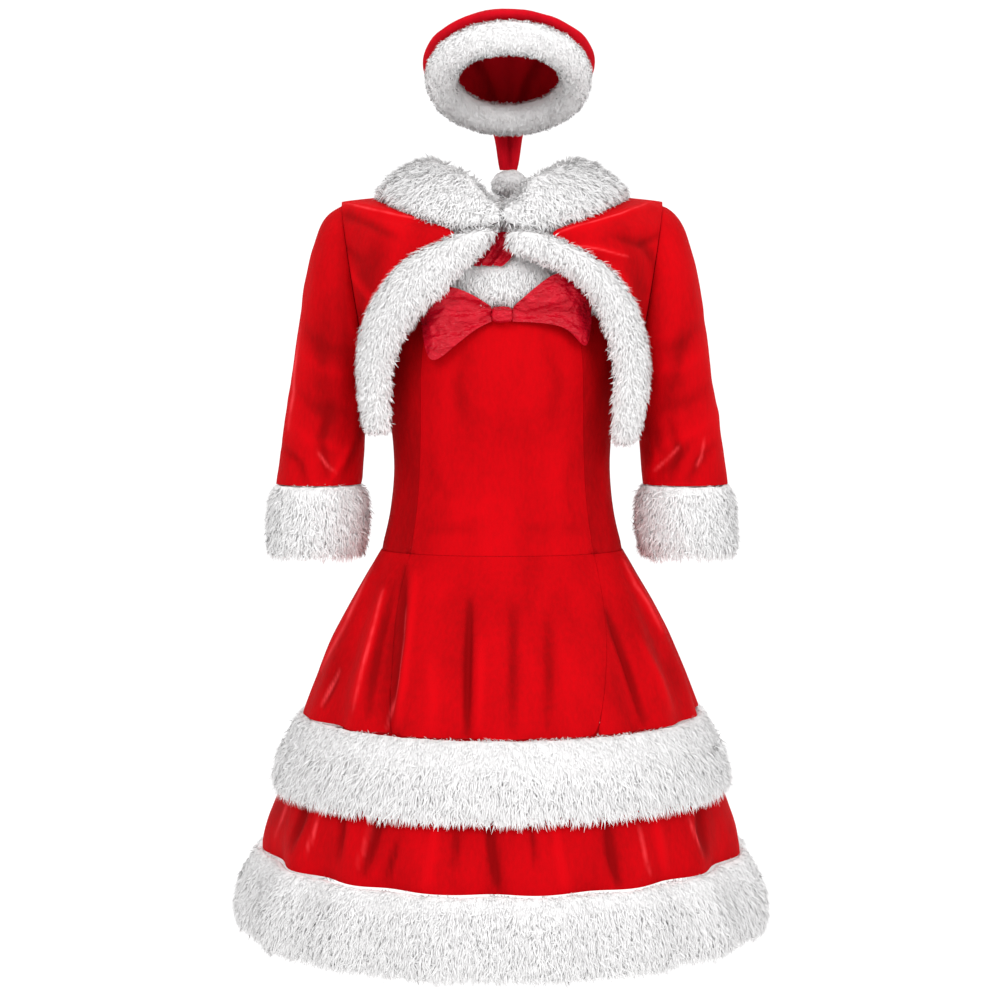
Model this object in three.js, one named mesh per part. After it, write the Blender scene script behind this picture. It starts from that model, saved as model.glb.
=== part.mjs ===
// A Christmas costume: a velvet dress with a tiered skirt, a velvet shrug and a hat, trimmed with
// fur, in the hollow form they take when worn. Millimetres, +X to the viewer's right, +Y to the
// back, +Z up. The origin is on the body's centre line, midway between the shoulders.
// "left" and "right" are the viewer's, so left is -X.
import * as THREE from 'three';
import { mergeVertices } from 'three/addons/utils/BufferGeometryUtils.js';

// Cloth and seams
const velvetWall = 2;
const satinWall = 1.5;
const seamGap = 0.3;
const halfSeam = seamGap / 2;

// Heights of the dress, down from the shoulders
const waistZ = -395;
const upperHem = { front: -585, back: -574 };
const skirtFurHem = { front: -665, back: -655 };
const ruffleTopZ = -622;
const ruffleHem = { front: -744, back: -729 };
const dressHem = { front: -829, back: -817 };

// Half widths and depths of the dress, one row a level
const bodiceRings = [
  { z: -56, side: 114, front: 90, back: 78 },
  { z: -120, side: 129, front: 100, back: 82 },
  { z: -180, side: 137, front: 106, back: 83 },
  { z: -240, side: 129, front: 96, back: 81 },
  { z: -300, side: 123.5, front: 88, back: 81 },
  { z: -350, side: 128, front: 92, back: 88 },
  { z: -395, side: 139, front: 100, back: 98 },
];
const skirtRings = [
  { z: -395, side: 139, front: 100, back: 98 },
  { z: -430, side: 160, front: 118, back: 118 },
  { z: -466, side: 180, front: 136, back: 138 },
  { z: -520, side: 204, front: 162, back: 164 },
  { z: -574, side: 227, front: 186, back: 188 },
];
const skirtFurRings = [
  { z: -574, side: 232, front: 192, back: 194, thick: 14 },
  { z: -596, side: 244, front: 204, back: 206, thick: 17 },
  { z: -622, side: 254, front: 214, back: 216, thick: 17 },
  { z: -644, side: 261, front: 221, back: 223, thick: 12 },
  { z: -665, side: 264, front: 224, back: 226, thick: 5 },
];
const ruffleRings = [
  { z: -622, side: 236.2, front: 196.2, back: 198.2 },
  { z: -644, side: 246, front: 206, back: 208 },
  { z: -662, side: 251, front: 210, back: 213 },
  { z: -690, side: 264, front: 222, back: 225 },
  { z: -715, side: 272, front: 230, back: 233 },
  { z: -744, side: 272, front: 232, back: 234 },
];
const hemFurRings = [
  { z: -727, side: 277, front: 236, back: 239, thick: 15 },
  { z: -750, side: 289, front: 247, back: 250, thick: 18 },
  { z: -778, side: 300, front: 255, back: 258, thick: 18 },
  { z: -806, side: 305, front: 258, back: 262, thick: 16 },
  { z: -829, side: 303, front: 257, back: 261, thick: 10 },
];

// Princess seams: degrees from the front centre, by level; the side panels end behind at
// sideBackTurn, and the skirt's front seams swing to their own turns at the hem
const princessTurns = [
  { z: -56, turn: 38 },
  { z: -190, turn: 42 },
  { z: -300, turn: 48.5 },
  { z: -395, turn: 48 },
];
const sideBackTurn = 104;
const skirtHemTurns = { left: -34, right: 28 };
const foldRun = 0.7;

// Folds of the upper tier: the turn of each at the waist and at the hem, its height and half width
const skirtFolds = [
  { waist: -50, hem: -34, rise: -11, width: 4 },
  { waist: -42, hem: -27, rise: 5, width: 5 },
  { waist: -58, hem: -44, rise: 7, width: 5 },
  { waist: -62, hem: -56, rise: -7, width: 4 },
  { waist: -66, hem: -68, rise: 6, width: 6 },
  { waist: -12, hem: -9, rise: -6, width: 5 },
  { waist: -3, hem: 0, rise: 4, width: 5 },
  { waist: 4, hem: 7, rise: -4, width: 4 },
  { waist: 14, hem: 14, rise: -5, width: 4 },
  { waist: 40, hem: 28, rise: -5, width: 4 },
  { waist: 46, hem: 43, rise: -10, width: 4 },
  { waist: 56, hem: 53, rise: 6, width: 5 },
  { waist: 66, hem: 64, rise: -6, width: 4 },
  { waist: 75, hem: 73, rise: 5, width: 5 },
  { waist: 88, hem: 86, rise: -8, width: 5 },
  { waist: 101, hem: 99, rise: 6, width: 6 },
  { waist: 117, hem: 113, rise: -9, width: 5 },
  { waist: 131, hem: 128, rise: 6, width: 6 },
  { waist: 147, hem: 144, rise: -7, width: 4 },
  { waist: 160, hem: 157, rise: 4, width: 5 },
  { waist: 174, hem: 172, rise: -8, width: 5 },
  { waist: 190, hem: 189, rise: 5, width: 6 },
  { waist: 205, hem: 207, rise: -7, width: 4 },
  { waist: 220, hem: 223, rise: 6, width: 6 },
  { waist: 234, hem: 239, rise: -9, width: 5 },
  { waist: 250, hem: 253, rise: 6, width: 5 },
  { waist: 265, hem: 268, rise: -7, width: 5 },
  { waist: 279, hem: 280, rise: 5, width: 5 },
];

// How much of the folds the fur band keeps at its top, and how far down they fade
const foldInFur = { share: 0.35, fade: 35 };

// Waves of the gathered tier: the turn of each crest, its height and half width
const ruffleWaves = [
  { turn: -84, rise: 7, width: 6 },
  { turn: -69, rise: -9, width: 5 },
  { turn: -57, rise: 8, width: 5 },
  { turn: -46, rise: -8, width: 4 },
  { turn: -35, rise: 6, width: 5 },
  { turn: -27, rise: -8, width: 4 },
  { turn: -15, rise: 6, width: 6 },
  { turn: -2, rise: -9, width: 4 },
  { turn: 9, rise: 6, width: 5 },
  { turn: 21, rise: -7, width: 4 },
  { turn: 31, rise: 7, width: 5 },
  { turn: 42, rise: -7, width: 4 },
  { turn: 52, rise: 8, width: 5 },
  { turn: 63, rise: -8, width: 5 },
  { turn: 76, rise: 8, width: 6 },
  { turn: 90, rise: -8, width: 5 },
  { turn: 103, rise: 7, width: 5 },
  { turn: 117, rise: -8, width: 5 },
  { turn: 131, rise: 7, width: 6 },
  { turn: 144, rise: -9, width: 5 },
  { turn: 158, rise: 7, width: 5 },
  { turn: 171, rise: -7, width: 5 },
  { turn: 186, rise: 8, width: 6 },
  { turn: 200, rise: -8, width: 5 },
  { turn: 214, rise: 7, width: 5 },
  { turn: 227, rise: -8, width: 5 },
  { turn: 241, rise: 7, width: 6 },
  { turn: 254, rise: -8, width: 5 },
  { turn: 265, rise: 6, width: 4 },
];

// The share of the waves that the lower fur band keeps
const waveInFur = 0.75;

// Fur trim on the dress's top edge, and how much its edges are rounded off
const trimThick = 17;
const trimRound = 9;
const trimTop = { front: -60, back: -104 };
const trimBottom = { front: -118, back: -150 };

// Satin bow: the knot; how far the loops stand off and puff, the share of that left at the knot
// and at the loop's end, and their creases; then each loop's outline by its reach from the centre
const bowKnot = { x: 11, top: -118.5, bottom: -138, out: 20, taper: 0.22 };
const bowPuff = { lift: 2, half: 7, pinch: 0.33, end: 0.4, crease: 1.4, creases: 11 };
const bowLoops = [
  { side: -1, rows: [
    { reach: 11.6, top: -120, bottom: -136 },
    { reach: 26, top: -110, bottom: -141 },
    { reach: 52, top: -95, bottom: -163 },
    { reach: 70, top: -101, bottom: -178 },
    { reach: 80, top: -106, bottom: -179 },
    { reach: 86, top: -110, bottom: -160 },
    { reach: 90, top: -113, bottom: -132 },
  ] },
  { side: 1, rows: [
    { reach: 11.6, top: -120, bottom: -136 },
    { reach: 26, top: -108, bottom: -136 },
    { reach: 48, top: -88, bottom: -138 },
    { reach: 64, top: -79, bottom: -140 },
    { reach: 76, top: -86, bottom: -146 },
    { reach: 88, top: -96, bottom: -160 },
    { reach: 95, top: -107, bottom: -163 },
    { reach: 100, top: -115, bottom: -132 },
  ] },
];

// Shrug: chest and back depth, how far below the shoulder they are reached, the height of the
// shoulder ridge from the neck out, and by level the half width, the roundness of the section and
// the share of the chest depth
const shrugDepth = { front: 128, back: 107 };
const shrugFall = 76;
const shrugRidge = { top: 22, drop: 20, flat: 80, run: 103, power: 1.6 };
const shrugHemZ = -213.5;
const shrugWidths = [
  { z: 30, side: 205, power: 2.6, chest: 1 },
  { z: -50, side: 190, power: 2.6, chest: 1 },
  { z: -100, side: 180, power: 2.6, chest: 1 },
  { z: -150, side: 174, power: 2.6, chest: 0.97 },
  { z: -205, side: 172, power: 2.6, chest: 0.87 },
  { z: -275, side: 172, power: 2.6, chest: 0.72 },
];

// Sleeve rings, shoulder to hem: outer and inner points of each, and its half depth
const sleeveRings = [
  { outX: 183, outZ: 2, inX: 150, inZ: -205, depth: 62 },
  { outX: 196, outZ: -10, inX: 151.5, inZ: -207, depth: 62 },
  { outX: 207, outZ: -27, inX: 153, inZ: -210, depth: 61 },
  { outX: 216, outZ: -52, inX: 154.5, inZ: -214, depth: 60 },
  { outX: 224, outZ: -88, inX: 155.5, inZ: -220, depth: 58 },
  { outX: 231, outZ: -134, inX: 156, inZ: -229, depth: 56 },
  { outX: 238, outZ: -184, inX: 156.5, inZ: -243, depth: 54 },
  { outX: 246, outZ: -234, inX: 157.5, inZ: -264, depth: 52 },
  { outX: 253, outZ: -280, inX: 159, inZ: -290, depth: 51 },
  { outX: 259, outZ: -320, inX: 162, inZ: -320, depth: 52 },
];
const cuffRings = [
  { z: -320, outX: 263, inX: 158, depth: 56, thick: 9 },
  { z: -336, outX: 267, inX: 154, depth: 62, thick: 13 },
  { z: -364, outX: 269, inX: 154, depth: 64, thick: 13 },
  { z: -386, outX: 270, inX: 156, depth: 64, thick: 12 },
  { z: -398, outX: 268, inX: 159, depth: 61, thick: 7 },
];

// Fur collar, front centre to back centre: its neck edge and its outer edge
const collarRows = [
  { inX: 0.2, inY: -102, inZ: -13, outX: 0.2, outY: -123, outZ: -28, thick: 14 },
  { inX: 16, inY: -97, inZ: -2, outX: 20, outY: -122, outZ: -33, thick: 21 },
  { inX: 29, inY: -86, inZ: 21, outX: 46, outY: -118, outZ: -36, thick: 27 },
  { inX: 45, inY: -72, inZ: 29, outX: 74, outY: -106, outZ: -28, thick: 28 },
  { inX: 61, inY: -50, inZ: 38, outX: 104, outY: -88, outZ: -16, thick: 28 },
  { inX: 73, inY: -24, inZ: 45, outX: 130, outY: -52, outZ: -3, thick: 27 },
  { inX: 77, inY: 4, inZ: 46, outX: 144, outY: -4, outZ: 7, thick: 25 },
  { inX: 72, inY: 32, inZ: 38, outX: 136, outY: 44, outZ: 0, thick: 26 },
  { inX: 56, inY: 56, inZ: 26, outX: 106, outY: 80, outZ: -14, thick: 26 },
  { inX: 30, inY: 72, inZ: 16, outX: 58, outY: 100, outZ: -26, thick: 26 },
  { inX: 0.2, inY: 78, inZ: 12, outX: 0.2, outY: 108, outZ: -32, thick: 26 },
];
const collarShoulderRow = 6;
const collarFrontRow = 2;

// Fur strips down the shrug's front edges, top to bottom: outer and inner edge of each, and how far
// the fur stands out; behind, it stands out by the given share of that
const stripBackShare = 0.14;
const edgeStrips = [
  { side: -1, rows: [
    { outX: 43, outZ: -39.5, inX: 3, inZ: -38, thick: 20 },
    { outX: 70, outZ: -51, inX: 15, inZ: -56, thick: 22 },
    { outX: 104, outZ: -66, inX: 46, inZ: -88, thick: 22 },
    { outX: 129, outZ: -92, inX: 74, inZ: -115, thick: 22 },
    { outX: 146, outZ: -118, inX: 96, inZ: -137, thick: 22 },
    { outX: 156, outZ: -148, inX: 112, inZ: -165, thick: 22 },
    { outX: 160, outZ: -178, inX: 120, inZ: -190, thick: 22 },
    { outX: 158, outZ: -214, inX: 122, inZ: -218, thick: 21 },
    { outX: 153, outZ: -257, inX: 123, inZ: -260, thick: 17 },
  ] },
  { side: 1, rows: [
    { outX: 46, outZ: -40.5, inX: 1, inZ: -38, thick: 20 },
    { outX: 76, outZ: -53, inX: 7, inZ: -62, thick: 22 },
    { outX: 108, outZ: -70, inX: 56, inZ: -76, thick: 22 },
    { outX: 132, outZ: -94, inX: 90, inZ: -102, thick: 22 },
    { outX: 148, outZ: -120, inX: 106, inZ: -130, thick: 22 },
    { outX: 158, outZ: -150, inX: 116, inZ: -160, thick: 22 },
    { outX: 163, outZ: -182, inX: 122, inZ: -190, thick: 22 },
    { outX: 161, outZ: -214, inX: 122, inZ: -220, thick: 21 },
    { outX: 152, outZ: -266, inX: 121, inZ: -273, thick: 17 },
  ] },
];
const stripHemRow = 7;
const stripLean = { across: 0.55, forward: 40 };

// Where the shrug's panels tuck in below the arm, and their gap to the collar behind
const underarmTuck = 5;
const tuckPower = 3;
const collarGap = 5;

// Fur round the shrug's back hem: the way it takes, side front to back centre
const backHemRoute = [
  { x: 149, y: -46 },
  { x: 146.5, y: -24 },
  { x: 143, y: 2 },
  { x: 131, y: 46 },
  { x: 115, y: 73 },
  { x: 99, y: 88 },
  { x: 61, y: 103 },
  { x: 0, y: 107 },
];
const backHemFur = { top: -214, bottom: -256, thick: 17, round: 3 };

// Satin ribbon under the collar's meeting point, top to bottom
const tieRows = [
  { left: -8, right: 12, y: -101, z: -38 },
  { left: -15, right: 17, y: -103, z: -50 },
  { left: -24, right: 12, y: -106, z: -63 },
  { left: -30, right: 0, y: -110.6, z: -75 },
];
const tieFold = { depth: 2.2, count: 2.5 };

// Hat: the middle of its fur roll, the roll's lean back and radii; then the crown's rings
const hat = { x: 7.5, y: -14, z: 137.5, lean: 30, rollRadius: 77, rollWide: 19, rollHigh: 18.5 };
const crownRings = [
  { y: -4.5, z: 154, lean: 30, wide: 84, deep: 84 },
  { y: -3.5, z: 155.1, lean: 30, wide: 95, deep: 95 },
  { y: 0, z: 157, lean: 31, wide: 100, deep: 97 },
  { y: 8, z: 158.5, lean: 34, wide: 99, deep: 93 },
  { y: 20, z: 158.5, lean: 42, wide: 93, deep: 81 },
  { y: 38, z: 159.5, lean: 58, wide: 80, deep: 63 },
  { y: 62, z: 156.5, lean: 80, wide: 62, deep: 47 },
  { y: 83, z: 144, lean: 104, wide: 44, deep: 33 },
  { y: 95, z: 126, lean: 132, wide: 31, deep: 21 },
  { y: 98, z: 104, lean: 158, wide: 22, deep: 13 },
  { y: 95, z: 80, lean: 174, wide: 16.5, deep: 9 },
  { y: 92, z: 44.7, lean: 178, wide: 11, deep: 6 },
];
const tailWall = 1.6;
const pompom = { x: 9.5, y: 92, z: 28.5, wide: 21, high: 16 };

// Grid sizes: steps across and down
const grid = {
  skirt: 80, skirtRows: 5, ruffle: 88, ruffleRows: 4, furRows: 3, furAround: 48,
  sleeveAround: 16, sleeveRows: 10, stripAround: 10,
};

const colours = {
  velvet: { color: 0xb00008, roughness: 0.75 },
  velvetHat: { color: 0xa8000c, roughness: 0.75 },
  satin: { color: 0xd81832, roughness: 0.35 },
  fur: { color: 0xe6e6e6, roughness: 0.95 },
};

const radians = THREE.MathUtils.degToRad;
const { lerp, smoothstep } = THREE.MathUtils;

function finish(name) {
  return new THREE.MeshStandardMaterial({ ...colours[name], metalness: 0 });
}

// A smooth line through a table's rows, read by a key column
function along(rows, key, column) {
  const way = Math.sign(rows[1][key] - rows[0][key]);
  const last = rows.length - 1;
  const slope = (i) => {
    const before = rows[Math.max(i - 1, 0)];
    const after = rows[Math.min(i + 1, last)];
    return (after[column] - before[column]) / (after[key] - before[key]);
  };
  return (at) => {
    let i = 0;
    while (i < last - 1 && (at - rows[i + 1][key]) * way > 0) i += 1;
    const span = rows[i + 1][key] - rows[i][key];
    const t = THREE.MathUtils.clamp((at - rows[i][key]) / span, 0, 1);
    const ease = t * t * (3 - 2 * t);
    const leave = t * (1 - t) * (1 - t) * span * slope(i);
    const arrive = t * t * (1 - t) * span * slope(i + 1);
    return lerp(rows[i][column], rows[i + 1][column], ease) + leave - arrive;
  };
}

// The same, for every column of a table at once; without a key the rows are evenly spaced
function readTable(rows, key) {
  const keyed = key ? rows : rows.map((row, i) => ({ ...row, step: i / (rows.length - 1) }));
  const read = {};
  for (const column of Object.keys(rows[0])) {
    if (column !== key) read[column] = along(keyed, key ?? 'step', column);
  }
  return read;
}

// A closed geometry from points and triangles, turned so that its faces point outwards
function closedGeometry(points, triangles) {
  let volume = 0;
  for (const [a, b, c] of triangles) {
    volume += points[a].dot(new THREE.Vector3().crossVectors(points[b], points[c]));
  }
  const order = volume < 0 ? triangles.map(([a, b, c]) => [a, c, b]) : triangles;
  const geometry = new THREE.BufferGeometry();
  const positions = new Float32Array(points.flatMap((p) => [p.x, p.y, p.z]));
  geometry.setAttribute('position', new THREE.BufferAttribute(positions, 3));
  geometry.setIndex(order.flat());
  return geometry;
}

function namedMesh(name, geometry, colour) {
  geometry.computeVertexNormals();
  const mesh = new THREE.Mesh(geometry, finish(colour));
  mesh.name = name;
  return mesh;
}

// The outward normal of a surface at (s, t); facing is -1 where s runs to the viewer's left
function surfaceNormal(point, s, t, facing) {
  const step = 1e-3;
  const across = point(s + step, t).sub(point(s - step, t));
  const down = point(s, t + step).sub(point(s, t - step));
  return down.cross(across).multiplyScalar(facing).normalize();
}

// Cloth: the outer points of a surface, s across and t down, each moved in by the wall
function clothGeometry(point, { across, down, wall, facing = 1, tube = false, normal }) {
  const columns = tube ? across : across + 1;
  const points = [];
  const inner = [];
  for (let i = 0; i <= down; i += 1) {
    for (let j = 0; j < columns; j += 1) {
      const s = j / across;
      const t = i / down;
      const out = normal ? normal(s, t) : surfaceNormal(point, s, t, facing);
      const depth = typeof wall === 'function' ? wall(s, t) : wall;
      const at = point(s, t);
      points.push(at);
      inner.push(at.clone().addScaledVector(out, -depth));
    }
  }
  const shift = points.length;
  points.push(...inner);
  const index = (i, j) => i * columns + (j % columns);
  const triangles = [];
  const quad = (a, b, c, d) => triangles.push([a, b, c], [a, c, d]);
  for (let i = 0; i < down; i += 1) {
    for (let j = 0; j < across; j += 1) {
      const [a, b, c, d] = [index(i, j), index(i + 1, j), index(i + 1, j + 1), index(i, j + 1)];
      quad(a, b, c, d);
      quad(a + shift, d + shift, c + shift, b + shift);
    }
  }
  for (let j = 0; j < across; j += 1) {
    const [a, d, b, c] = [index(0, j), index(0, j + 1), index(down, j), index(down, j + 1)];
    quad(a, d, d + shift, a + shift);
    quad(c, b, b + shift, c + shift);
  }
  for (let i = 0; i < down && !tube; i += 1) {
    const [a, b, c, d] = [index(i, 0), index(i + 1, 0), index(i + 1, across), index(i, across)];
    quad(b, a, a + shift, b + shift);
    quad(d, c, c + shift, d + shift);
  }
  return closedGeometry(points, triangles);
}

// Rings of points carried along a way, closed by a flat end at each side
function ringsGeometry(rings) {
  const around = rings[0].length;
  const points = rings.flat();
  const triangles = [];
  for (let i = 0; i < rings.length - 1; i += 1) {
    for (let j = 0; j < around; j += 1) {
      const a = i * around + j;
      const d = i * around + ((j + 1) % around);
      triangles.push([a, a + around, d + around], [a, d + around, d]);
    }
  }
  const capEnd = (ring, start, flip) => {
    const middle = new THREE.Vector3();
    ring.forEach((p) => middle.addScaledVector(p, 1 / around));
    points.push(middle);
    const centre = points.length - 1;
    for (let j = 0; j < around; j += 1) {
      const [a, b] = [start + j, start + ((j + 1) % around)];
      triangles.push(flip ? [centre, b, a] : [centre, a, b]);
    }
  };
  capEnd(rings[0], 0, false);
  capEnd(rings.at(-1), (rings.length - 1) * around, true);
  return closedGeometry(points, triangles);
}

// A ring of points round a plump strip: at(w) runs from one edge at -1 to the other at 1
function plumpRing(at, lift, around, backShare) {
  return Array.from({ length: around }, (_, j) => {
    const angle = (2 * Math.PI * j) / around;
    const height = Math.sin(angle) * (Math.sin(angle) < 0 ? backShare : 1);
    return at(Math.cos(angle)).addScaledVector(lift, height);
  });
}

// A bell curve that is 1 at the middle and fades over the given half width
function bump(distance, width) {
  const share = distance / width;
  return Math.exp(-share * share);
}

function turnDistance(a, b) {
  return THREE.MathUtils.euclideanModulo(a - b + 180, 360) - 180;
}

// A point on a level ring of the dress: degrees from the front centre, moved out by rise
function ringPoint(table, z, degrees, rise = 0) {
  const turn = radians(degrees);
  const side = table.side(z) + rise;
  const depth = (Math.cos(turn) > 0 ? table.front(z) : table.back(z)) + rise;
  return new THREE.Vector3(side * Math.sin(turn), -depth * Math.cos(turn), z);
}

// The level way out at a turn, along which walls get their thickness
function turnNormal(degrees) {
  const turn = radians(degrees);
  return new THREE.Vector3(Math.sin(turn), -Math.cos(turn), 0);
}

// The turn that a seam gap takes up on a ring
function gapTurn(table, z) {
  return THREE.MathUtils.radToDeg(halfSeam / table.front(z));
}

// A panel of the dress between two seams, given as degrees at each level
function dressPanel(name, table, { from, to, top, bottom, rise = () => 0, across, down, wall, colour }) {
  const zAt = (degrees, t) => lerp(top(degrees), bottom(degrees), t);
  const place = (s, t) => {
    const zMiddle = lerp(top(0), bottom(0), t);
    const gap = gapTurn(table, zMiddle);
    const degrees = lerp(from(zMiddle) + gap, to(zMiddle) - gap, s);
    return { degrees, z: zAt(degrees, t) };
  };
  const point = (s, t) => {
    const { degrees, z } = place(s, t);
    return ringPoint(table, z, degrees, rise(degrees, z));
  };
  const normal = (s, t) => turnNormal(place(s, t).degrees);
  const thick = wall ?? ((s, t) => table.thick(place(s, t).z));
  const geometry = clothGeometry(point, { across, down, wall: thick, normal });
  return namedMesh(name, geometry, colour);
}

const bodice = readTable(bodiceRings, 'z');
const skirt = readTable(skirtRings, 'z');
const skirtFur = readTable(skirtFurRings, 'z');
const ruffle = readTable(ruffleRings, 'z');
const hemFur = readTable(hemFurRings, 'z');
const princess = along(princessTurns, 'z', 'turn');

// A height that runs from its front value to its back value round the body
function tilted({ front, back }) {
  return (degrees) => lerp(front, back, (1 - Math.cos(radians(degrees))) / 2);
}

function makeBodice() {
  const edge = tilted(trimBottom);
  const shape = {
    top: (degrees) => edge(degrees) - seamGap, bottom: () => waistZ, down: 7, wall: velvetWall,
    colour: 'velvet',
  };
  const panels = [
    { name: 'bodice_front', from: (z) => -princess(z), to: princess, across: 12 },
    { name: 'bodice_side_right', from: princess, to: () => sideBackTurn, across: 6 },
    { name: 'bodice_back', from: () => sideBackTurn, to: () => 360 - sideBackTurn, across: 14 },
    { name: 'bodice_side_left', from: () => -sideBackTurn, to: (z) => -princess(z), across: 6 },
  ];
  return panels.map(({ name, ...bounds }) => dressPanel(name, bodice, { ...shape, ...bounds }));
}

function makeTopTrim() {
  const halves = [
    { name: 'top_trim_front', from: () => -90, to: () => 90 },
    { name: 'top_trim_back', from: () => 90, to: () => 270 },
  ];
  const shape = {
    top: tilted(trimTop), bottom: tilted(trimBottom), across: 16, down: 3, wall: trimThick,
    rise: (degrees, z) => {
      const [top, bottom] = [tilted(trimTop)(degrees), tilted(trimBottom)(degrees)];
      const share = (top - z) / (top - bottom);
      return trimThick - velvetWall - trimRound * (2 * share - 1) ** 4;
    },
    colour: 'fur',
  };
  return halves.map(({ name, ...bounds }) => dressPanel(name, bodice, { ...shape, ...bounds }));
}

function foldRise(degrees, z) {
  const t = (waistZ - z) / (waistZ - upperHem.front);
  const grow = smoothstep(t, 0, foldRun);
  return skirtFolds.reduce((sum, fold) => {
    const distance = turnDistance(degrees, lerp(fold.waist, fold.hem, t));
    return sum + fold.rise * grow * bump(distance, fold.width);
  }, 0);
}

function makeSkirt() {
  const seam = (waistTurn, hemTurn) => along(
    [{ z: waistZ, turn: waistTurn }, { z: upperHem.front, turn: hemTurn }], 'z', 'turn',
  );
  const left = seam(-princess(waistZ), skirtHemTurns.left);
  const right = seam(princess(waistZ), skirtHemTurns.right);
  const shape = {
    top: () => waistZ - seamGap, bottom: tilted(upperHem), rise: foldRise, down: grid.skirtRows,
    wall: velvetWall, colour: 'velvet',
  };
  const columns = (degrees) => Math.round((grid.skirt * degrees) / 360);
  const back = 360 - 2 * sideBackTurn;
  const frontTurn = (princess(waistZ) * 2 + skirtHemTurns.right - skirtHemTurns.left) / 2;
  const sideTurn = (360 - back - frontTurn) / 2;
  const panels = [
    { name: 'skirt_front', from: left, to: right, across: columns(frontTurn) },
    { name: 'skirt_side_right', from: right, to: () => sideBackTurn, across: columns(sideTurn) },
    { name: 'skirt_back', from: () => sideBackTurn, to: () => sideBackTurn + back, across: columns(back) },
    { name: 'skirt_side_left', from: () => -sideBackTurn, to: left, across: columns(sideTurn) },
  ];
  return panels.map(({ name, ...bounds }) => dressPanel(name, skirt, { ...shape, ...bounds }));
}

// Front and back halves of a band round the skirt
function skirtHalves(names, table, shape) {
  return [
    dressPanel(names[0], table, { ...shape, from: () => -90, to: () => 90 }),
    dressPanel(names[1], table, { ...shape, from: () => 90, to: () => 270 }),
  ];
}

function makeSkirtFur() {
  return skirtHalves(['skirt_fur_front', 'skirt_fur_back'], skirtFur, {
    top: (degrees) => tilted(upperHem)(degrees) - seamGap, bottom: tilted(skirtFurHem),
    rise: (degrees, z) => {
      const soft = smoothstep(-z, -upperHem.front, -upperHem.front + foldInFur.fade);
      return foldInFur.share * foldRise(degrees, upperHem.front) * (1 - soft);
    },
    across: grid.furAround / 2, down: grid.furRows, colour: 'fur',
  });
}

function waveRise(degrees) {
  return ruffleWaves.reduce(
    (sum, wave) => sum + wave.rise * bump(turnDistance(degrees, wave.turn), wave.width), 0,
  );
}

function makeRuffle() {
  return skirtHalves(['ruffle_front', 'ruffle_back'], ruffle, {
    top: () => ruffleTopZ, bottom: tilted(ruffleHem),
    rise: (degrees, z) => {
      const grow = smoothstep(-z, -tilted(skirtFurHem)(degrees), -tilted(ruffleHem)(degrees) + 20);
      return waveRise(degrees) * grow;
    },
    across: grid.ruffle / 2, down: grid.ruffleRows, wall: velvetWall, colour: 'velvet',
  });
}

function makeHemFur() {
  return skirtHalves(['hem_fur_front', 'hem_fur_back'], hemFur, {
    top: (degrees) => tilted(ruffleHem)(degrees) - seamGap, bottom: tilted(dressHem),
    rise: (degrees) => waveRise(degrees) * waveInFur,
    across: (grid.ruffle * 3) / 8, down: grid.furRows, colour: 'fur',
  });
}

// The shrug's surface: how far forward or back it stands at a place seen from the front
const shrugWidth = readTable(shrugWidths, 'z');
function ridgeZ(x) {
  const out = Math.max(Math.abs(x) - shrugRidge.flat, 0) / shrugRidge.run;
  return shrugRidge.top - shrugRidge.drop * out ** shrugRidge.power;
}
function shrugY(x, z, depth) {
  const fall = THREE.MathUtils.clamp((ridgeZ(x) - z) / shrugFall, 0, 1);
  const power = shrugWidth.power(z);
  const across = Math.min(Math.abs(x) / shrugWidth.side(z), 1);
  const round = (1 - across ** power) ** (1 / power);
  return depth * Math.sqrt(1 - (1 - fall) ** 2) * round;
}
function chestFront(x, z) {
  return -shrugY(x, z, shrugDepth.front * shrugWidth.chest(z));
}

const sleeve = readTable(sleeveRings);
function sleevePoint(side, s, t, halfGap = 0) {
  const angle = 2 * Math.PI * s;
  const outer = new THREE.Vector3(sleeve.outX(t) + halfGap, 0, sleeve.outZ(t));
  const inner = new THREE.Vector3(sleeve.inX(t) + halfGap, 0, sleeve.inZ(t));
  const middle = outer.clone().add(inner).multiplyScalar(0.5);
  const half = outer.sub(inner).multiplyScalar(0.5);
  const at = middle.addScaledVector(half, Math.cos(angle));
  at.y -= sleeve.depth(t) * Math.sin(angle);
  at.x *= side;
  return at;
}

// The armhole, as the straight stretches that the sleeve and the panels share; s as on the sleeve
function armhole(side, s, halfGap) {
  const at = s * grid.sleeveAround;
  const first = Math.floor(at + 1e-6);
  const [a, b] = [first, first + 1].map((k) => sleevePoint(side, k / grid.sleeveAround, 0, halfGap));
  return a.lerp(b, at - first);
}
function armholeNormal(side, s) {
  const middle = sleevePoint(side, 0, 0).add(sleevePoint(side, 0.5, 0)).multiplyScalar(0.5);
  const at = s * grid.sleeveAround;
  const first = Math.floor(at + 1e-6);
  const [a, b] = [first, first + 1].map((k) => (
    sleevePoint(side, k / grid.sleeveAround, 0).sub(middle).normalize()
  ));
  return a.lerp(b, at - first);
}

const collar = readTable(collarRows);
const collarEnd = collarRows.length - 1;
function collarEdges(side, u) {
  return {
    inner: new THREE.Vector3(side * collar.inX(u), collar.inY(u), collar.inZ(u)),
    outer: new THREE.Vector3(side * collar.outX(u), collar.outY(u), collar.outZ(u)),
  };
}

// A point on the base of a front strip, from its outer edge at w = -1 to its inner edge at w = 1
function stripBase(strip, table, u, w) {
  const share = (w + 1) / 2;
  const x = lerp(table.outX(u), table.inX(u), share);
  const z = lerp(table.outZ(u), table.inZ(u), share);
  return new THREE.Vector3(strip.side * x, chestFront(x, z) + velvetWall / 2, z);
}

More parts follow.
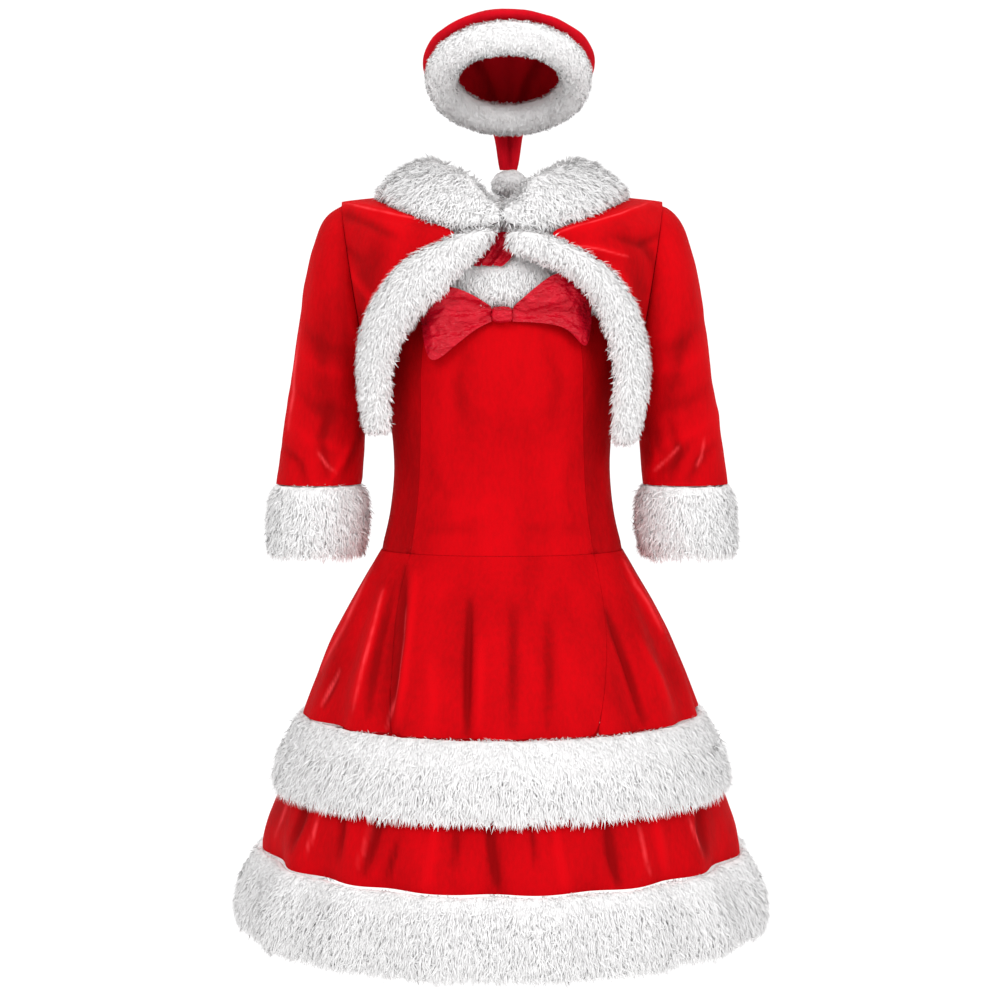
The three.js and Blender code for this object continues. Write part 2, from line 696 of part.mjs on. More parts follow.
// A point moved past an edge of a strip, away from the strip
function beyond(edge, other, gap) {
  return edge.clone().addScaledVector(edge.clone().sub(other).normalize(), gap);
}

// The line a shrug panel shares with the sleeve and then with the other panel, down the side.
// way is 1 through the front of the armhole and -1 through its back
const armholeRows = grid.sleeveAround;
const panelRows = armholeRows + 2;
const collarRowsOnPanel = 4;
const stripRowsOnPanel = panelRows - collarRowsOnPanel;
const stripHemStep = stripHemRow / (edgeStrips[0].rows.length - 1);

// How far down a strip it meets the panel's rows, the share of them below the collar given
function stripStep(share) {
  return stripHemStep * Math.sin((Math.PI / 2) * share);
}

function panelSide(side, way, t) {
  const row = t * panelRows;
  if (row <= armholeRows) {
    const s = row / armholeRows / 2;
    return armhole(side, way > 0 ? s : 1 - s, -halfSeam);
  }
  const share = (row - armholeRows) / (panelRows - armholeRows);
  const under = sleevePoint(side, 0.5, 0, -halfSeam);
  return new THREE.Vector3(
    under.x - side * underarmTuck * share, 0, lerp(under.z, shrugHemZ, share),
  );
}
function panelSideNormal(side, way, t) {
  const s = Math.min((t * panelRows) / armholeRows / 2, 0.5);
  return armholeNormal(side, way > 0 ? s : 1 - s);
}

// One front of the shrug: rows from the shoulder seam to the hem, armhole to fur edge
function makeShrugFront(name, strip) {
  const { side } = strip;
  const table = readTable(strip.rows);
  const edgeGap = 3 * seamGap;
  const collarShare = collarRowsOnPanel / panelRows;
  const innerLine = (t) => {
    if (t < collarShare - 1e-6) {
      const u = lerp(collarShoulderRow, collarFrontRow, t / collarShare) / collarEnd;
      const { inner, outer } = collarEdges(side, u);
      const at = beyond(outer, inner, edgeGap);
      at.y = lerp(-halfSeam, at.y, smoothstep(t, 0, collarShare / 4));
      return at;
    }
    const u = stripStep(THREE.MathUtils.clamp((t - collarShare) / (1 - collarShare), 0, 1));
    return beyond(stripBase(strip, table, u, -1), stripBase(strip, table, u, -0.8), edgeGap);
  };
  const surfaceY = (p) => chestFront(p.x, p.z);
  const point = (s, t) => {
    const [outer, inner] = [panelSide(side, 1, t), innerLine(t)];
    const at = outer.clone().lerp(inner, s);
    if (Math.abs(inner.x) > Math.abs(outer.x)) at.x = lerp(outer.x, inner.x, s ** tuckPower);
    const [outerLift, innerLift] = [outer.y - surfaceY(outer), inner.y - surfaceY(inner)];
    at.y = surfaceY(at) + lerp(outerLift, innerLift, s);
    at.y = Math.min(at.y, -halfSeam);
    return at;
  };
  const normal = (s, t) => {
    if (s === 0) return panelSideNormal(side, 1, t);
    if (t === 0) return new THREE.Vector3(0, 0, 1);
    if (s === 1 && t > collarShare - 1e-6) return new THREE.Vector3(0, -1, 0);
    return surfaceNormal(point, s, t, -side);
  };
  const geometry = clothGeometry(point, { across: 6, down: panelRows, wall: velvetWall, normal });
  return namedMesh(name, geometry, 'velvet');
}

// The shrug's back: its top edge follows the shoulder seams and the collar's outer edge
function makeShrugBack() {
  const armTop = sleeveRings[0].outX - halfSeam;
  const collarBack = Array.from({ length: 25 }, (_, i) => {
    const u = lerp(collarEnd, collarShoulderRow, i / 24) / collarEnd;
    const { inner, outer } = collarEdges(1, u);
    const at = beyond(outer, inner, collarGap);
    return { x: at.x, y: at.y, z: at.z };
  });
  const shoulder = { x: armTop, y: halfSeam, z: sleeveRings[0].outZ };
  const topEdge = readTable([...collarBack, shoulder].sort((a, b) => a.x - b.x), 'x');
  const surfaceY = (x, z) => shrugY(x, z, shrugDepth.back);
  const point = (s, t) => {
    const way = Math.abs(2 * s - 1);
    const side = panelSide(1, -1, t);
    const top = { y: topEdge.y(way * armTop), z: topEdge.z(way * armTop) };
    const z = lerp(lerp(top.z, shrugHemZ, t), side.z, way ** 3);
    const x = way * side.x;
    const topLift = top.y - surfaceY(way * armTop, top.z);
    const sideLift = side.y - surfaceY(side.x, side.z);
    const y = surfaceY(x, z) + topLift * (1 - t) ** 4 * (1 - way ** 8) + sideLift * way ** 6;
    return new THREE.Vector3(Math.sign(2 * s - 1) * x, Math.max(y, halfSeam), z);
  };
  const normal = (s, t) => {
    if (s === 0 || s === 1) return panelSideNormal(2 * s - 1, -1, t);
    if (t === 0) return new THREE.Vector3(0, 0, 1);
    return surfaceNormal(point, s, t, -1);
  };
  const geometry = clothGeometry(point, { across: 14, down: panelRows, wall: velvetWall, normal });
  return namedMesh('shrug_back', geometry, 'velvet');
}

function makeSleeve(name, side) {
  const point = (s, t) => sleevePoint(side, s, t, t === 0 ? halfSeam : 0);
  const normal = (s, t) => (t === 0 ? armholeNormal(side, s) : surfaceNormal(point, s, t, side));
  const geometry = clothGeometry(point, {
    across: grid.sleeveAround, down: grid.sleeveRows, wall: velvetWall, tube: true, normal,
  });
  return namedMesh(name, geometry, 'velvet');
}

function makeCuff(name, side) {
  const table = readTable(cuffRings, 'z');
  const [top, bottom] = [cuffRings[0].z - seamGap, cuffRings.at(-1).z];
  const place = (s, t, shrink) => {
    const z = lerp(top, bottom, t);
    const angle = 2 * Math.PI * s;
    const middle = (table.outX(z) + table.inX(z)) / 2;
    const half = (table.outX(z) - table.inX(z)) / 2 - shrink;
    const deep = table.depth(z) - shrink;
    return new THREE.Vector3(side * (middle + half * Math.cos(angle)), -deep * Math.sin(angle), z);
  };
  const point = (s, t) => place(s, t, 0);
  const normal = (s, t) => point(s, t).sub(place(s, t, 1)).normalize();
  const geometry = clothGeometry(point, {
    across: grid.sleeveAround + 4, down: grid.furRows, tube: true, normal,
    wall: (s, t) => table.thick(lerp(top, bottom, t)),
  });
  return namedMesh(name, geometry, 'fur');
}

function makeCollar(name, side) {
  const stations = 14;
  const rings = Array.from({ length: stations + 1 }, (_, i) => {
    const u = i / stations;
    const { inner, outer } = collarEdges(side, u);
    const ahead = collarEdges(side, Math.min(u + 0.01, 1)).outer;
    const behind = collarEdges(side, Math.max(u - 0.01, 0)).outer;
    const lift = ahead.sub(behind).cross(outer.clone().sub(inner)).normalize();
    if (lift.z < 0) lift.negate();
    if (i === 0 || i === stations) lift.x = 0;
    lift.normalize().multiplyScalar(collar.thick(u) / 2);
    const at = (w) => inner.clone().lerp(outer, (w + 1) / 2);
    return plumpRing(at, lift, grid.stripAround, 1);
  });
  return namedMesh(name, ringsGeometry(rings), 'fur');
}

function makeEdgeStrip(name, strip) {
  const table = readTable(strip.rows);
  const panelSteps = Array.from(
    { length: stripRowsOnPanel + 1 }, (_, i) => stripStep(i / stripRowsOnPanel),
  );
  const rings = [...panelSteps, (1 + stripHemStep) / 2, 1].map((u) => {
    const middle = stripBase(strip, table, u, 0);
    const forward = Math.abs(middle.y) + stripLean.forward;
    const lift = new THREE.Vector3(middle.x * stripLean.across, -forward, 0).normalize();
    lift.multiplyScalar(table.thick(u) - velvetWall);
    return plumpRing((w) => stripBase(strip, table, u, w), lift, grid.stripAround, stripBackShare);
  });
  return namedMesh(name, ringsGeometry(rings), 'fur');
}

function makeBackHemFur() {
  const half = backHemRoute.map(({ x, y }) => new THREE.Vector3(x, y, 0));
  const other = half.slice(0, -1).reverse().map((p) => new THREE.Vector3(-p.x, p.y, 0));
  const route = new THREE.CatmullRomCurve3([...half, ...other]);
  const { top, bottom, thick, round } = backHemFur;
  const outwards = (s) => {
    const way = route.getTangentAt(THREE.MathUtils.clamp(s, 0, 1));
    return new THREE.Vector3(way.y, -way.x, 0);
  };
  const point = (s, t) => {
    const puff = thick / 2 - round * (2 * t - 1) ** 4;
    const at = route.getPointAt(THREE.MathUtils.clamp(s, 0, 1)).addScaledVector(outwards(s), puff);
    at.z = lerp(top - seamGap, bottom, t);
    return at;
  };
  const geometry = clothGeometry(point, {
    across: 26, down: 3, wall: (s, t) => thick - 2 * round * (2 * t - 1) ** 4, normal: outwards,
  });
  return namedMesh('edge_fur_back', geometry, 'fur');
}

function makeNeckTie() {
  const table = readTable(tieRows);
  const point = (s, t) => {
    const fold = tieFold.depth * Math.sin(2 * Math.PI * tieFold.count * s + t);
    return new THREE.Vector3(lerp(table.left(t), table.right(t), s), table.y(t) + fold, table.z(t));
  };
  const geometry = clothGeometry(point, { across: 12, down: 4, wall: satinWall });
  return namedMesh('neck_tie', geometry, 'satin');
}

// How far forward the bodice and its trim stand at a place, for what lies on them
function chestY(x, z) {
  const share = Math.min(Math.abs(x) / (bodice.side(z) + 12), 1);
  const trim = smoothstep(z, trimBottom.front - 6, trimBottom.front + 10) * trimThick;
  return -(bodice.front(z) + trim) * Math.sqrt(1 - share * share);
}

// A bow loop: a satin band that leaves the knot, turns at its end and returns behind itself
function makeBowLoop(name, { side, rows }) {
  const table = readTable(rows);
  const point = (s, t) => {
    const angle = Math.PI * THREE.MathUtils.clamp(s, 0, 1);
    const u = Math.sin(angle);
    const x = table.reach(u);
    const z = lerp(table.top(u), table.bottom(u), t);
    const open = lerp(bowPuff.pinch, 1, smoothstep(u, 0, 0.5)) * lerp(1, bowPuff.end, smoothstep(u, 0.6, 1));
    const half = bowPuff.half * open;
    const crease = bowPuff.crease * Math.sin(bowPuff.creases * t + 1.5 * u) * 4 * u * (1 - u);
    const layer = half * Math.cos(angle) + crease * Math.max(Math.cos(angle), 0);
    return new THREE.Vector3(side * x, chestY(x, z) - bowPuff.lift - half - layer, z);
  };
  const geometry = clothGeometry(point, { across: 16, down: 7, wall: satinWall, facing: side });
  return namedMesh(name, geometry, 'satin');
}

function makeBowKnot() {
  const { x, top, bottom, out } = bowKnot;
  const middleZ = (top + bottom) / 2;
  const rings = Array.from({ length: 7 }, (_, i) => {
    const way = -1 + i / 3;
    const base = chestY(way * x, middleZ) - 2 * seamGap;
    const swell = 1 - bowKnot.taper * way * way;
    return Array.from({ length: 10 }, (_, j) => {
      const angle = (2 * Math.PI * j) / 10;
      const y = base - out / 2 - (out / 2) * swell * Math.cos(angle);
      return new THREE.Vector3(way * x, y, middleZ + ((top - bottom) / 2) * swell * Math.sin(angle));
    });
  });
  return namedMesh('bow_knot', ringsGeometry(rings), 'satin');
}

function makeBow() {
  return [
    makeBowLoop('bow_loop_left', bowLoops[0]), makeBowLoop('bow_loop_right', bowLoops[1]),
    makeBowKnot(),
  ];
}

// The fur roll of the hat: an oval section turned round the leaning axis
function makeHatBand() {
  const sides = 10;
  const profile = Array.from({ length: sides + 1 }, (_, i) => {
    const angle = (2 * Math.PI * (i % sides)) / sides;
    return new THREE.Vector2(
      hat.rollRadius + hat.rollWide * Math.cos(angle), hat.rollHigh * Math.sin(angle),
    );
  });
  const geometry = new THREE.LatheGeometry(profile, 24);
  geometry.deleteAttribute('normal');
  geometry.deleteAttribute('uv');
  const band = mergeVertices(geometry, 1e-3);
  band.rotateX(Math.PI / 2 - radians(hat.lean));
  band.translate(hat.x, hat.y, hat.z);
  return namedMesh('hat_band', band, 'fur');
}

// The crown rises from the band, folds back and hangs down as a closed tail
function makeHatCrown() {
  const table = readTable(crownRings);
  const point = (s, t) => {
    const angle = 2 * Math.PI * s;
    const lean = radians(table.lean(t));
    const [wide, deep] = [table.wide(t) * Math.cos(angle), -table.deep(t) * Math.sin(angle)];
    return new THREE.Vector3(
      hat.x + wide, table.y(t) + deep * Math.cos(lean), table.z(t) - deep * Math.sin(lean),
    );
  };
  const wall = (s, t) => lerp(velvetWall, tailWall, t);
  const geometry = clothGeometry(point, { across: 18, down: 15, wall, tube: true });
  return namedMesh('hat_crown', geometry, 'velvetHat');
}

function makePompom() {
  const geometry = new THREE.SphereGeometry(1, 14, 10);
  geometry.deleteAttribute('normal');
  geometry.deleteAttribute('uv');
  const ball = mergeVertices(geometry, 1e-3);
  ball.scale(pompom.wide, pompom.high, pompom.wide);
  ball.rotateX(Math.PI / 2);
  ball.translate(pompom.x, pompom.y, pompom.z);
  return namedMesh('hat_pompom', ball, 'fur');
}

const costume = new THREE.Group();
costume.add(...makeBodice(), ...makeTopTrim(), ...makeBow());
costume.add(...makeSkirt(), ...makeSkirtFur(), ...makeRuffle(), ...makeHemFur());
for (const strip of edgeStrips) {
  const hand = strip.side < 0 ? 'left' : 'right';
  costume.add(makeShrugFront(`shrug_front_${hand}`, strip));
  costume.add(makeEdgeStrip(`edge_fur_${hand}`, strip));
  costume.add(makeSleeve(`sleeve_${hand}`, strip.side));
  costume.add(makeCuff(`cuff_fur_${hand}`, strip.side));
  costume.add(makeCollar(`collar_${hand}`, strip.side));
}
costume.add(makeShrugBack(), makeBackHemFur(), makeNeckTie());
costume.add(makeHatBand(), makeHatCrown(), makePompom());

export default costume;
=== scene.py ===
# A Christmas costume: a velvet dress with a tiered skirt and a satin bow, a velvet shrug and a hat,
# trimmed with white fur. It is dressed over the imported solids, in metres and in their frame.
import math

import bmesh
import bpy
import numpy as np
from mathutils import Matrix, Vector, noise
from mathutils.kdtree import KDTree


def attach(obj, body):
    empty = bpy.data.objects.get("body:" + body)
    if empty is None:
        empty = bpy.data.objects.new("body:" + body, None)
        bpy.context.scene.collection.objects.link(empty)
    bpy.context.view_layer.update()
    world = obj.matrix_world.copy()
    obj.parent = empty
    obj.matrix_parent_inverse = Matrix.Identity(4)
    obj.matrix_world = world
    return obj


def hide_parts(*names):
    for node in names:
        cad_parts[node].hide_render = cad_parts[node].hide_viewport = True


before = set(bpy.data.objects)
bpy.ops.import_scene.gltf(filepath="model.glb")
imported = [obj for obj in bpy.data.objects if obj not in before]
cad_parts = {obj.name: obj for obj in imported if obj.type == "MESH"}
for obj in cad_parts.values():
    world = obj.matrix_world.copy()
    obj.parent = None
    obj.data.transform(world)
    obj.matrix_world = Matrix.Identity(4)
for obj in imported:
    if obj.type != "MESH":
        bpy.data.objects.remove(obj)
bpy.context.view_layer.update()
bpy.ops.object.select_all(action="DESELECT")
mm = 0.001


# A shader socket that takes part in sums
class Sock:
    def __init__(self, shader, socket):
        self.shader = shader
        self.socket = socket

    def maths(self, operation, first, second):
        return self.shader.add("ShaderNodeMath", {"operation": operation}, {0: first, 1: second})

    def __add__(self, other):
        return self.maths("ADD", self, other)

    def __radd__(self, other):
        return self.maths("ADD", other, self)

    def __sub__(self, other):
        return self.maths("SUBTRACT", self, other)

    def __mul__(self, other):
        return self.maths("MULTIPLY", self, other)

    def __rmul__(self, other):
        return self.maths("MULTIPLY", other, self)

    def __pow__(self, other):
        return self.maths("POWER", self, other)


class Finish:
    def __init__(self, name):
        self.material = bpy.data.materials.new(name)
        self.material.use_nodes = True
        self.nodes = self.material.node_tree.nodes
        self.links = self.material.node_tree.links
        self.shader = self.nodes["Principled BSDF"]
        self.place = self.add("ShaderNodeTexCoord", {}, {}, "Object")

    def add(self, kind, settings, values, output=0):
        node = self.nodes.new(kind)
        for key, value in settings.items():
            setattr(node, key, value)
        for key, value in values.items():
            self.join(node.inputs[key], value)
        return Sock(self, node.outputs[output])

    def join(self, socket, value):
        if isinstance(value, Sock):
            self.links.new(value.socket, socket)
        else:
            socket.default_value = value

    def set(self, **values):
        for key, value in values.items():
            self.join(self.shader.inputs[key.replace("_", " ")], value)

    def grain(self, scale, detail, stretch=(1, 1, 1)):
        vector = self.add("ShaderNodeMapping", {}, {"Vector": self.place, "Scale": stretch})
        values = {"Vector": vector, "Scale": scale, "Detail": detail}
        return self.add("ShaderNodeTexNoise", {}, values)

    def painted(self, title):
        return self.add("ShaderNodeAttribute", {"attribute_name": title}, {}, "Fac")

    def bump(self, height, distance, strength, under=None):
        values = {"Height": height, "Distance": distance, "Strength": strength}
        if under:
            values["Normal"] = under
        return self.add("ShaderNodeBump", {}, values)

    def blend(self, factor, first, second):
        settings = {"data_type": "RGBA"}
        return self.add("ShaderNodeMix", settings, {0: factor, 6: first, 7: second}, 2)


# The velvet's colours: one red as painted shade and as painted light, and a pink painted highlight
# for creases
velvetLook = {
    "deep": (0.23, 0.0, 0.001, 1), "lit": (0.55, 0.0, 0.003, 1), "paintedHighlight": (0.85, 0.05, 0.06, 1),
    "stretch": (1, 1, 0.4), "napPatch": 24, "patchShare": 0.6, "napFine": 260, "fineShare": 0.36,
    "paintedLightShift": 0.48, "broken": 45, "brokenFrom": 0.35, "brokenTo": 0.6, "brokenLeast": 0.4,
    "roughness": 0.74, "roughSpread": 0.12, "specular": 0.05, "sheen": 0.05,
    "sheenTint": (1.0, 0.04, 0.05, 1), "sheenRoughness": 0.35,
    "pile": 1900, "pileDepth": 0.0002, "crumple": 55, "crumpleDepth": 0.0009,
}
# The hat's velvet: the same velvet with both reds painted lighter, as painted light on the hat
litHatVelvetLook = {**velvetLook, "deep": (0.26, 0.0, 0.004, 1), "lit": (0.6, 0.003, 0.012, 1)}


def makeVelvet(name, look):
    finish = Finish(name)
    patch = finish.grain(look["napPatch"], 3, look["stretch"])
    fine = finish.grain(look["napFine"], 2, look["stretch"])
    # Painted light: the level painted on the piece, with random patches added, picks between the
    # shaded and the lit red
    height = finish.painted("paintedLight") + patch * look["patchShare"] + fine * look["fineShare"]
    paintedLight = finish.add("ShaderNodeMapRange", {"interpolation_type": "SMOOTHSTEP"}, {
        "Value": height - look["paintedLightShift"]})
    broken = finish.add("ShaderNodeMapRange", {}, {
        "Value": finish.grain(look["broken"], 2), "From Min": look["brokenFrom"],
        "From Max": look["brokenTo"], "To Min": look["brokenLeast"]})
    paintedShading = finish.blend(paintedLight, look["deep"], look["lit"])
    # Thin painted highlights along creases, broken up by noise, laid over the painted shade and
    # light
    paintedHighlight = finish.painted("paintedHighlightMask") * broken
    finish.set(Base_Color=finish.blend(paintedHighlight, paintedShading, look["paintedHighlight"]))
    finish.set(Roughness=look["roughness"] + look["roughSpread"] * fine)
    soft = finish.bump(finish.grain(look["crumple"], 1), look["crumpleDepth"], strength=0.5)
    pile = finish.grain(look["pile"], 0)
    finish.set(Normal=finish.bump(pile, look["pileDepth"], strength=0.7, under=soft))
    finish.set(Sheen_Weight=look["sheen"], Sheen_Roughness=look["sheenRoughness"])
    finish.set(Sheen_Tint=look["sheenTint"], Specular_IOR_Level=look["specular"])
    return finish.material


satinLook = {
    "deep": (0.36, 0.0, 0.006, 1), "lit": (0.66, 0.004, 0.022, 1),
    "patch": 60, "patchStretch": (1, 1, 1.6), "contrast": 1.4,
    "crinkle": 95, "crinkleStretch": (0.8, 1, 1.5), "crinkleDepth": 0.008,
    "weave": 3200, "weaveDepth": 0.00005, "roughness": 0.3, "roughSpread": 0.12,
    "specular": 0.42, "specularTint": (1, 0.45, 0.5, 1),
}


def makeSatin():
    finish = Finish("redSatin")
    look = satinLook
    patch = finish.grain(look["patch"], 3, look["patchStretch"])
    crinkle = finish.grain(look["crinkle"], 3, look["crinkleStretch"])
    # Painted light and shade: the lit and the shaded satin red mixed in noise patches
    finish.set(Base_Color=finish.blend(patch ** look["contrast"], look["deep"], look["lit"]))
    finish.set(Roughness=look["roughness"] + look["roughSpread"] * patch)
    soft = finish.bump(crinkle, look["crinkleDepth"], strength=0.8)
    weave = finish.grain(look["weave"], 1)
    finish.set(Normal=finish.bump(weave, look["weaveDepth"], strength=0.4, under=soft))
    finish.set(Specular_IOR_Level=look["specular"], Specular_Tint=look["specularTint"])
    return finish.material


furLook = {
    "shade": (0.72, 0.71, 0.71, 1), "white": (0.87, 0.865, 0.865, 1),
    "under": (0.78, 0.77, 0.77, 1), "roughness": 0.85, "roughSpread": 0.1, "specular": 0.0, "tuft": 90, "tuftDepth": 0.0025,
    "hair": 900, "hairStretch": (1, 1, 0.3), "hairDepth": 0.0006,
}


def makeFurBacking():
    finish = Finish("furBacking")
    look = furLook
    tuft = finish.grain(look["tuft"], 3)
    finish.set(Base_Color=finish.blend(tuft, look["under"], look["white"]))
    finish.set(Roughness=look["roughness"] + look["roughSpread"] * tuft)
    soft = finish.bump(tuft, look["tuftDepth"], strength=0.6)
    hair = finish.grain(look["hair"], 2, look["hairStretch"])
    finish.set(Normal=finish.bump(hair, look["hairDepth"], strength=0.6, under=soft))
    finish.set(Specular_IOR_Level=look["specular"])
    return finish.material


def makeFurStrands():
    finish = Finish("furStrands")
    # Each strand's colour: a random tone, with painted shade darkening it towards the root
    toneAndRootShade = finish.painted("toneAndRootShade")
    finish.set(Base_Color=finish.blend(toneAndRootShade, furLook["shade"], furLook["white"]))
    finish.set(Roughness=furLook["roughness"], Specular_IOR_Level=furLook["specular"])
    return finish.material


velvet = makeVelvet("redVelvet", velvetLook)
litHatVelvet = makeVelvet("litHatVelvet", litHatVelvetLook)
satin = makeSatin()
furBacking = makeFurBacking()
furStrands = makeFurStrands()
print("finishes made")


# Meshes as arrays, in millimetres
def readPoints(mesh):
    points = np.empty(len(mesh.vertices) * 3)
    mesh.vertices.foreach_get("co", points)
    normals = np.empty(len(mesh.vertices) * 3)
    mesh.vertices.foreach_get("normal", normals)
    return points.reshape(-1, 3) / mm, normals.reshape(-1, 3)


def writePoints(mesh, points):
    mesh.vertices.foreach_set("co", (points * mm).ravel())
    mesh.update()


def paint(mesh, title, values):
    stored = mesh.attributes.new(title, "FLOAT", "POINT")
    stored.data.foreach_set("value", values.astype(np.float32))


def applyModifier(piece, kind, **settings):
    modifier = piece.modifiers.new(kind.title(), kind)
    for key, value in settings.items():
        setattr(modifier, key, value)
    bpy.ops.object.select_all(action="DESELECT")
    piece.select_set(True)
    bpy.context.view_layer.objects.active = piece
    bpy.ops.object.modifier_apply(modifier=modifier.name)


aroundBody = ("bodice", "skirt", "ruffle", "shrug")
merging = {"gap": 0.00002, "flatness": 0.9, "squareness": 1.2}


# Of the faces left when a wall's rim is taken out, the joined ones that face away from the centre
def outerFaces(work, rimEdge, node):
    seen = {f for f in work.faces if min(e.calc_length() for e in f.edges) < rimEdge}
    regions = []
    for start in work.faces:
        if start in seen:
            continue
        region, queue = [], [start]
        seen.add(start)
        while queue:
            face = queue.pop()
            region.append(face)
            for edge in face.edges:
                for other in edge.link_faces:
                    if other not in seen:
                        seen.add(other)
                        queue.append(other)
        regions.append(region)
    middle = sum((v.co for v in work.verts), Vector()) / len(work.verts)
    centre = Vector((0, 0, middle.z)) if node.startswith(aroundBody) else middle

    def facing(region):
        return sum(f.calc_area() * f.normal.dot(f.calc_center_median() - centre) for f in region)

    return set(max(regions, key=facing))


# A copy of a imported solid, merged; with rimEdge, only the outer face of its cloth wall
def copyOf(node, name, rimEdge=0.0):
    piece = bpy.data.objects.new(name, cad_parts[node].data.copy())
    bpy.context.scene.collection.objects.link(piece)
    work = bmesh.new()
    work.from_mesh(piece.data)
    bmesh.ops.remove_doubles(work, verts=work.verts, dist=merging["gap"])
    work.normal_update()
    if rimEdge:
        outer = outerFaces(work, rimEdge * mm, node)
        others = [f for f in work.faces if f not in outer]
        bmesh.ops.delete(work, geom=others, context="FACES")
    bmesh.ops.join_triangles(
        work, faces=work.faces, angle_face_threshold=merging["flatness"],
        angle_shape_threshold=merging["squareness"])
    work.to_mesh(piece.data)
    work.free()
    piece.data.materials.clear()
    return piece


# Where a point appears on the plane of the centre line, seen from the front
eye = {"distance": 2600, "height": -170}


def seenFromFront(points):
    near = (eye["distance"] / (eye["distance"] + points[:, 1]))[:, None]
    flat = points[:, [0, 2]] - (0, eye["height"])
    return flat * near + (0, eye["height"])


# How far creases raise each place: each is a line in millimetres, with its rise and half width,
# and fades towards its two ends
creaseFade = {"scale": 0.86, "shift": 0.07, "power": 0.7}


def creaseRise(places, creases):
    total = np.zeros(len(places))
    for crease in creases:
        line = np.array(crease["line"], float)
        steps = np.linalg.norm(np.diff(line, axis=0), axis=1)
        length = steps.sum()
        best = np.full(len(places), 1e9)
        share = np.zeros(len(places))
        before = 0.0
        for start, end, step in zip(line[:-1], line[1:], steps):
            way = (end - start) / step
            along = np.clip((places - start) @ way, 0, step)
            gap = np.linalg.norm(places - start - along[:, None] * way, axis=1)
            nearer = gap < best
            best[nearer] = gap[nearer]
            share[nearer] = (before + along[nearer]) / length
            before += step
        fade = np.clip(share * creaseFade["scale"] + creaseFade["shift"], 0, 1)
        fade = np.sin(np.pi * fade) ** creaseFade["power"]
        total += crease["rise"] * fade * np.exp(-(best / crease["width"]) ** 2)
    return total


noiseStep = (7.3, 3.1, 5.7)


def softNoise(points, scale, seed):
    shift = Vector([seed * step for step in noiseStep])
    return np.array([noise.noise(Vector(p) / scale + shift) for p in points])


# How near each point is to the sheet's own edge, from 1 on it to 0 inside
def edgeNearness(mesh, points, width):
    work = bmesh.new()
    work.from_mesh(mesh)
    rim = [v.index for v in work.verts if v.is_boundary]
    work.free()
    tree = KDTree(len(rim))
    for i in rim:
        tree.insert(points[i], i)
    tree.balance()
    gaps = np.array([tree.find(p)[2] for p in points])
    return np.exp(-(gaps / width) ** 2)


# What every cloth piece shares unless its group says otherwise, in millimetres, shares and degrees
clothForm = {
    "levels": 3, "wall": 2.0, "rimEdge": 2.6, "smooth": 65, "frontShare": 0.5, "frontSlope": 1.6,
    "depth": 1, "crumpleScale": 26, "stretch": (1, 1, 1), "seamWidth": 3.5, "seamDip": 0.5,
    # Painted light on a panel: its own level or the plain one, how much crease rise lightens or
    # darkens it, and lines of painted shade and light
    "paintedLight": {}, "plainPaintedLight": 0.62, "creaseShading": 0.15, "paintedShading": [],
    # Thin painted highlights along crease lines, with their strength and half width
    "paintedHighlight": [], "highlightRise": 0.75, "highlightWidth": 1.5,
}


# A cloth piece: the solid's outer face, refined, creased and given its wall again
def clothPiece(node, settings, material):
    piece = copyOf(node, node + "_cloth", settings["rimEdge"])
    applyModifier(piece, "SUBSURF", levels=settings["levels"], render_levels=settings["levels"],
                  boundary_smooth="PRESERVE_CORNERS")
    points, normals = readPoints(piece.data)
    front = np.clip(settings["frontShare"] - settings["frontSlope"] * normals[:, 1], 0, 1)
    seen = seenFromFront(points)
    rise = front * creaseRise(seen, settings["front"])
    rise += (1 - front) * creaseRise(points[:, [0, 2]], settings["back"])
    rise *= settings["depth"]
    # Painted shade and light: the panel's level, darker in crease troughs and lighter on ridges, and
    # broad painted shade along listed lines
    paintedLight = settings["paintedLight"].get(node, settings["plainPaintedLight"]) + settings["creaseShading"] * rise
    paintedLight += front * creaseRise(seen, settings["paintedShading"])
    # Thin painted highlights along the listed crease lines, on the parts facing the front
    highlightLook = {"rise": settings["highlightRise"], "width": settings["highlightWidth"]}
    highlightLines = [{**line, **highlightLook} for line in settings["paintedHighlight"]]
    paintedHighlightMask = front * np.clip(creaseRise(seen, highlightLines), 0, 1)
    crumple = softNoise(points * settings["stretch"], settings["crumpleScale"], settings["seed"])
    rise += settings["crumple"] * crumple
    near = edgeNearness(piece.data, points, settings["seamWidth"])
    rise = rise * (1 - near) - settings["seamDip"] * near
    writePoints(piece.data, points + normals * rise[:, None])
    paint(piece.data, "paintedHighlightMask", paintedHighlightMask)
    paint(piece.data, "paintedLight", paintedLight)
    applyModifier(piece, "SOLIDIFY", thickness=settings["wall"] * mm, offset=-1)
    bpy.ops.object.shade_smooth_by_angle(angle=math.radians(settings["smooth"]))
    piece.data.materials.append(material)
    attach(piece, "root")
    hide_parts(node)
    return piece


